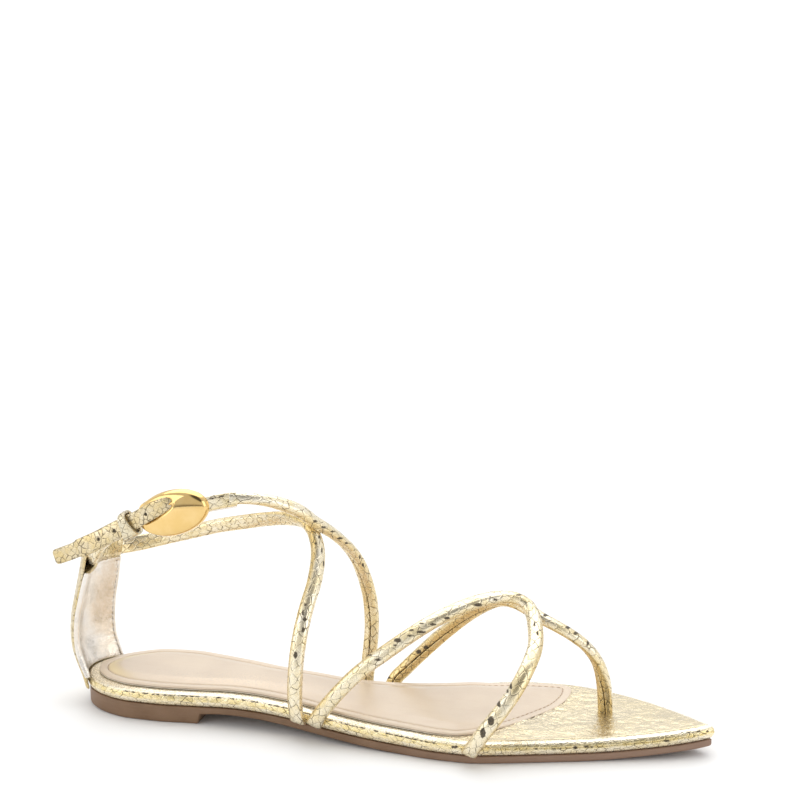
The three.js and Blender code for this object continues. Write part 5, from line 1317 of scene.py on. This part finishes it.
def keeper():
    n = 120
    a = np.arange(n) / n * 2 * np.pi
    c, s = np.cos(a), np.sin(a)
    sq = lambda w, t: np.stack([np.sign(c) * np.abs(c) ** .55 * w / 2, np.sign(s) * np.abs(s) ** .55 * t / 2], 1)
    mid = sq(9.9, 8.5)
    loop = np.vstack([mid, mid[:1]])
    d = lengths(loop)
    ev = np.linspace(0, d[-1], n + 1)[:-1]
    mid = np.stack([np.interp(ev, d, loop[:, k]) for k in range(2)], 1)
    for _ in range(3):
        mid = (np.roll(mid, 1, 0) + 2 * mid + np.roll(mid, -1, 0)) / 4
    tan = unit(np.roll(mid, -1, 0) - np.roll(mid, 1, 0))
    nrm = np.stack([tan[:, 1], -tan[:, 0]], 1)
    # rounded rectangle, 3.4 wide and 1.0 thick
    t = np.linspace(0, 2 * np.pi, 41)[:-1]
    cx, cy = np.cos(t), np.sin(t)
    sec = np.stack([np.sign(cx) * np.abs(cx) ** .32 * 1.7, np.sign(cy) * np.abs(cy) ** .5 * 0.7], 1)
    off = mid[:, None, :] + nrm[:, None, :] * (sec[None, :, 1:] + (0.10 * waves(ev[:, None] / 2.4, sec[None, :, 0] / 1.5 + 5, 3) - 0.16 * np.exp(-((np.abs(sec[None, :, 0]) - 1.05) / 0.16) ** 2))[..., None])
    low = np.clip(0.5 + mid[:, 0] / 9.7, 0, 1)      # the band widens towards its lower side
    along = sec[None, :, 0] * (0.85 + 1.0 * low[:, None]) - 0.50 * low[:, None] + 0.12 * wave(ev / 5.0, 2.0)[:, None]
    P = KEEP + k_along * along[..., None] + k_side * off[..., :1] + k_out * off[..., 1:]
    q = grid_faces(n, 40, wrap_m=True, wrap_n=True)
    su = np.repeat(ev, 40)
    sv = np.tile(np.concatenate([[0], np.cumsum(np.linalg.norm(np.diff(sec, axis=0), axis=1))]), n)
    cu, cv = su[q], sv[q]
    girth = sv.max() + 0.2
    last = q[:, 0] // 40 == n - 1
    cu[last, 2:] = d[-1]
    closing = (q % 40)[:, 1] == 0
    cv[closing, 1] = girth
    cv[closing, 2] = girth
    return build("strap_keeper_loop", P.reshape(-1, 3), q, KEEPER_FOIL, points={"spot": np.full(n * 40, 3.0)},
                 corners=np.stack([cu, cv], -1).reshape(-1, 2), stands_for=("strap_keeper",))


keeper()

# ---- buckle --------------------------------------------------------------------------------------------------
B_MID = np.array([48.6, -25.6, 90.0])
B_U, B_N = np.array([0.951, 0, 0.309]), np.array([0.0, -1, 0])
B_V = np.cross(B_N, B_U)
B_A, B_B, B_H = 15.6, 9.2, 5.2


def on_buckle(u, v, n):
    return B_MID + np.asarray(u)[..., None] * B_U + np.asarray(v)[..., None] * B_V + np.asarray(n)[..., None] * B_N


def slot_loop(step=0.25):
    """The opening: it slants with the strap and has a small hooked lip at its inner end."""
    p = np.array([(-12.3, -1.3), (-8.6, -0.6), (-5.0, 0.3), (-1.0, 1.6), (1.4, 2.8), (2.3, 3.6), (1.5, 3.9), (0.7, 3.7),
                  (0.5, 4.3), (1.5, 4.9), (2.5, 5.2), (2.0, 6.2), (0.2, 6.75), (-3.6, 6.5), (-7.5, 6.1), (-12.3, 5.3),
                  (-12.9, 3.5), (-12.9, 0.0)])
    for _ in range(3):
        q = np.roll(p, -1, 0)
        p = np.stack([p * 0.75 + q * 0.25, p * 0.25 + q * 0.75], 1).reshape(-1, 2)
    return even_loop(p, step)


def buckle():
    slot_edge = slot_loop()
    rho = np.concatenate([[1.0, 0.9993, 0.997, 0.993, 0.986, 0.975, 0.96, 0.94, 0.915], np.arange(0.885, 0.02, -0.03)])
    pts, n = [], 150
    for k, r in enumerate(rho):
        cnt = max(10, int(n * max(r, .25)))
        t = (np.arange(cnt) + 0.5 * (k % 2)) / cnt * 2 * np.pi
        pts.append(np.stack([B_A * r * np.cos(t), B_B * r * np.sin(t)], 1))
    first = len(pts[0])
    body = np.vstack(pts[1:])
    near = edge_distance(body, slot_edge)
    body = body[(near > 1.5) & ~in_loop(body, slot_edge)]
    lips = []
    for k in (0.03, 0.08, 0.16, 0.27, 0.40, 0.56, 0.75, 1.0, 1.3):
        tan = unit(np.roll(slot_edge, -1, 0) - np.roll(slot_edge, 1, 0))
        q = slot_edge + np.stack([tan[:, 1], -tan[:, 0]], 1) * k
        lips.append(q)
    allp = np.vstack([pts[0], slot_edge, *lips, body])
    res = delaunay_2d_cdt([Vector(p) for p in allp.tolist()], [], [list(range(first)),
                          list(range(first, first + len(slot_edge)))], 1, 1e-6, True)
    xy = np.array([list(p) for p in res[0]])
    tri = np.array([f for f in res[2] if len(f) == 3])
    c = xy[tri].mean(1)
    tri = tri[~in_loop(c, slot_edge)]
    a, b, c = xy[tri[:, 0]], xy[tri[:, 1]], xy[tri[:, 2]]
    area = (b[:, 0] - a[:, 0]) * (c[:, 1] - a[:, 1]) - (b[:, 1] - a[:, 1]) * (c[:, 0] - a[:, 0])
    tri[area < 0] = tri[area < 0][:, ::-1]
    tri = tri[np.abs(area) > 1e-10]
    used = np.unique(tri)
    remap = -np.ones(len(xy), int)
    remap[used] = np.arange(len(used))
    xy, tri = xy[used], remap[tri]
    e = np.vstack([tri[:, [0, 1]], tri[:, [1, 2]], tri[:, [2, 0]]])
    seen = {(int(p), int(q)) for p, q in e}
    border = [(p, q) for p, q in seen if (q, p) not in seen]

    def top(u, v):
        low = smooth(u, -B_A, -0.1 * B_A) * 0.55 + 0.45
        r2 = (u / B_A) ** 2 + (v / B_B) ** 2
        h = 1.3 + (B_H - 1.3) * low * np.sqrt(np.clip(1 - r2, 0, 1))
        # the rim of the dome rolls under
        roll = 1.3 * (1 - np.sqrt(np.clip(1 - (1 - np.clip((1 - np.sqrt(r2)) * 9.2 / 0.9, 0, 1)) ** 2, 0, 1)))
        h = h - roll
        ds = edge_distance(np.column_stack([u, v]), slot_edge)
        k = np.clip(ds / 1.1, 0, 1)
        return h * 1.0 - 1.25 * (1 - np.sqrt(np.clip(1 - (1 - k) ** 2, 0, 1)))

    z = top(xy[:, 0], xy[:, 1])
    eps = 0.02
    gu = (top(xy[:, 0] + eps, xy[:, 1]) - top(xy[:, 0] - eps, xy[:, 1])) / (2 * eps)
    gv = (top(xy[:, 0], xy[:, 1] + eps) - top(xy[:, 0], xy[:, 1] - eps)) / (2 * eps)
    k = len(xy)
    r2 = np.sqrt((xy[:, 0] / B_A) ** 2 + (xy[:, 1] / B_B) ** 2)
    zb = np.zeros(k) - 0.0
    ids = sorted({p for p, _ in border} | {q for _, q in border})
    where = {p: i for i, p in enumerate(ids)}
    ids = np.array(ids)
    verts = [on_buckle(xy[:, 0], xy[:, 1], z)]
    outer = r2[ids] > 0.99
    shrink = np.where(outer, 0.985, 1.0)
    for w in (0.35, 0.7):
        zz = z[ids] * (1 - w)
        s = 1 - (1 - shrink) * w
        verts.append(on_buckle(xy[ids, 0] * s, xy[ids, 1] * s, zz))
    bottom_xy = xy.copy()
    bottom_xy[ids] *= shrink[:, None]
    verts.append(on_buckle(bottom_xy[:, 0], bottom_xy[:, 1], zb))
    nb = len(ids)
    faces = [list(f) for f in tri]
    bottom0 = k + 2 * nb
    for p, q in border:
        i, j = where[p], where[q]
        chain = [(p, q), (k + i, k + j), (k + nb + i, k + nb + j), (bottom0 + p, bottom0 + q)]
        for (a0, b0), (a1, b1) in zip(chain, chain[1:]):
            faces.append([b0, a0, a1, b1])
    faces += [[bottom0 + f[2], bottom0 + f[1], bottom0 + f[0]] for f in tri]
    return build("buckle_dome", np.vstack(verts), faces, GOLD, stands_for=("buckle_frame",))


buckle()


def rod(name, a, b, radius, material):
    a, b = np.array(a), np.array(b)
    t = np.linspace(0, 1, 24)
    tan = unit(b - a)
    x = unit(np.cross(tan, [0.3, 1, 0.2]))
    y = np.cross(tan, x)
    ang = np.arange(28) / 28 * 2 * np.pi
    swell = 1 + 0.14 * np.abs(2 * t - 1) ** 6                      # the bar thickens where it meets the frame
    c = a + (b - a) * t[:, None]
    ring = c[:, None] + (x * np.cos(ang)[:, None] + y * np.sin(ang)[:, None])[None] * radius * swell[:, None, None]
    v = np.vstack([ring.reshape(-1, 3), a, b])
    f = [list(q) for q in grid_faces(24, 28, wrap_m=True)]
    for j in range(28):
        f.append([24 * 28, (j + 1) % 28, j])
        f.append([24 * 28 + 1, 23 * 28 + j, 23 * 28 + (j + 1) % 28])
    return build(name, v, f, material)


rod("buckle_bar", on_buckle(8.0, -7.4, 0.9), on_buckle(8.0, 7.4, 0.9), 1.0, GOLD)

# ---- floor and light ---------------------------------------------------------------------------------------
floor_finish = Finish("floor")
fp = floor_finish.place()
floor_finish.set(Base_Color=floor_finish.mix(floor_finish.noise(fp, 260.0, 2.0), (0.885, 0.885, 0.885), (0.905, 0.905, 0.905)),
                 Roughness=floor_finish.math("MULTIPLY_ADD", floor_finish.noise(fp, 40.0, 2.0), 0.1, 0.5),
                 Specular_IOR_Level=0.3)
ang = np.arange(96) / 96 * 2 * np.pi
rr = [0.0005, 400, 1600, 6000, 30000]
pts = np.vstack([np.stack([r * np.cos(ang), r * np.sin(ang), 0 * ang], 1) for r in rr]) - OFFSET
build("floor", pts, [list(q) for q in grid_faces(len(rr), 96, wrap_m=True)], floor_finish, stage=True)

world = bpy.data.worlds.new("studio")
bpy.context.scene.world = world
world.use_nodes = True
wt = world.node_tree
wt.nodes.clear()
bg = wt.nodes.new("ShaderNodeBackground")
wout = wt.nodes.new("ShaderNodeOutputWorld")
wt.links.new(bg.outputs[0], wout.inputs[0])
co = wt.nodes.new("ShaderNodeTexCoord")
sp = wt.nodes.new("ShaderNodeSeparateXYZ")
wt.links.new(co.outputs["Generated"], sp.inputs[0])


def w_range(x, lo, hi, a, b):
    n = wt.nodes.new("ShaderNodeMapRange")
    n.interpolation_type = "SMOOTHSTEP"
    wt.links.new(x, n.inputs[0])
    for s, v in zip(list(n.inputs)[1:5], (lo, hi, a, b)):
        s.default_value = v
    return n.outputs[0]


def w_math(op, a, b):
    n = wt.nodes.new("ShaderNodeMath")
    n.operation = op
    for s, v in zip(n.inputs, (a, b)):
        if isinstance(v, bpy.types.NodeSocket):
            wt.links.new(v, s)
        else:
            s.default_value = v
    return n.outputs[0]


behind = w_range(sp.outputs[1], -0.45, 0.60, 0.0, 1.0)        # bright wall behind, dimmer room in front
low = w_range(sp.outputs[2], 0.0, 0.16, 0.22, 0.72)          # in front: an even, slightly grey room
dark = wt.nodes.new("ShaderNodeVectorMath")                   # with a dark stand high behind the tripod
dark.operation = "DOT_PRODUCT"
wt.links.new(co.outputs["Generated"], dark.inputs[0])
dark.inputs[1].default_value = (0.350, -0.600, 0.720)
dark = w_range(dark.outputs["Value"], 0.88, 0.955, 1.0, 0.14)
side = w_math("ABSOLUTE", w_math("ADD", sp.outputs[0], -0.12), 0.0)
side = w_range(side, 0.30, 0.75, 0.0, 1.0)                    # light walls to the left and right
front = w_math("ADD", w_math("MULTIPLY", low, w_math("SUBTRACT", 1.0, side)), w_math("MULTIPLY", side, 0.76))
total = w_math("ADD", w_math("MULTIPLY", behind, 0.93), w_math("MULTIPLY", front, w_math("SUBTRACT", 1.0, behind)))
total = w_math("MULTIPLY", total, dark)
wt.links.new(total, bg.inputs["Strength"])
bg.inputs["Color"].default_value = (1.0, 1.0, 1.0, 1.0)


def softbox(name, place, aim, size, power, size_y=None, colour=(1, 1, 1)):
    d = bpy.data.lights.new(name, "AREA")
    d.shape = "RECTANGLE"
    d.size, d.size_y = size, size_y or size
    d.energy = power
    d.color = colour
    o = bpy.data.objects.new(name, d)
    bpy.context.scene.collection.objects.link(o)
    o.location = place
    o.rotation_euler = (Vector(aim) - Vector(place)).to_track_quat("-Z", "Y").to_euler()
    return o


def sky(name, toward, strength, angle):
    """A wide, far light: the studio's ceiling, alike over the whole floor."""
    d = bpy.data.lights.new(name, "SUN")
    d.energy = strength
    d.angle = math.radians(angle)
    o = bpy.data.objects.new(name, d)
    bpy.context.scene.collection.objects.link(o)
    o.rotation_euler = (-Vector(toward)).to_track_quat("-Z", "Y").to_euler()
    return o


sky("ceiling", (-0.10, 0.45, 1.0), 1.45, 75)
softbox("left_box", (-0.95, -0.85, 0.60), (0, 0, 0.04), 1.2, 4.2, 0.9)
softbox("right_box", (1.15, -0.40, 0.50), (0, 0, 0.04), 0.8, 2.6, 0.8)

view = bpy.context.scene.view_settings
view.view_transform = "Standard"
view.look = "None"
view.exposure = 0.0
view.gamma = 1.0
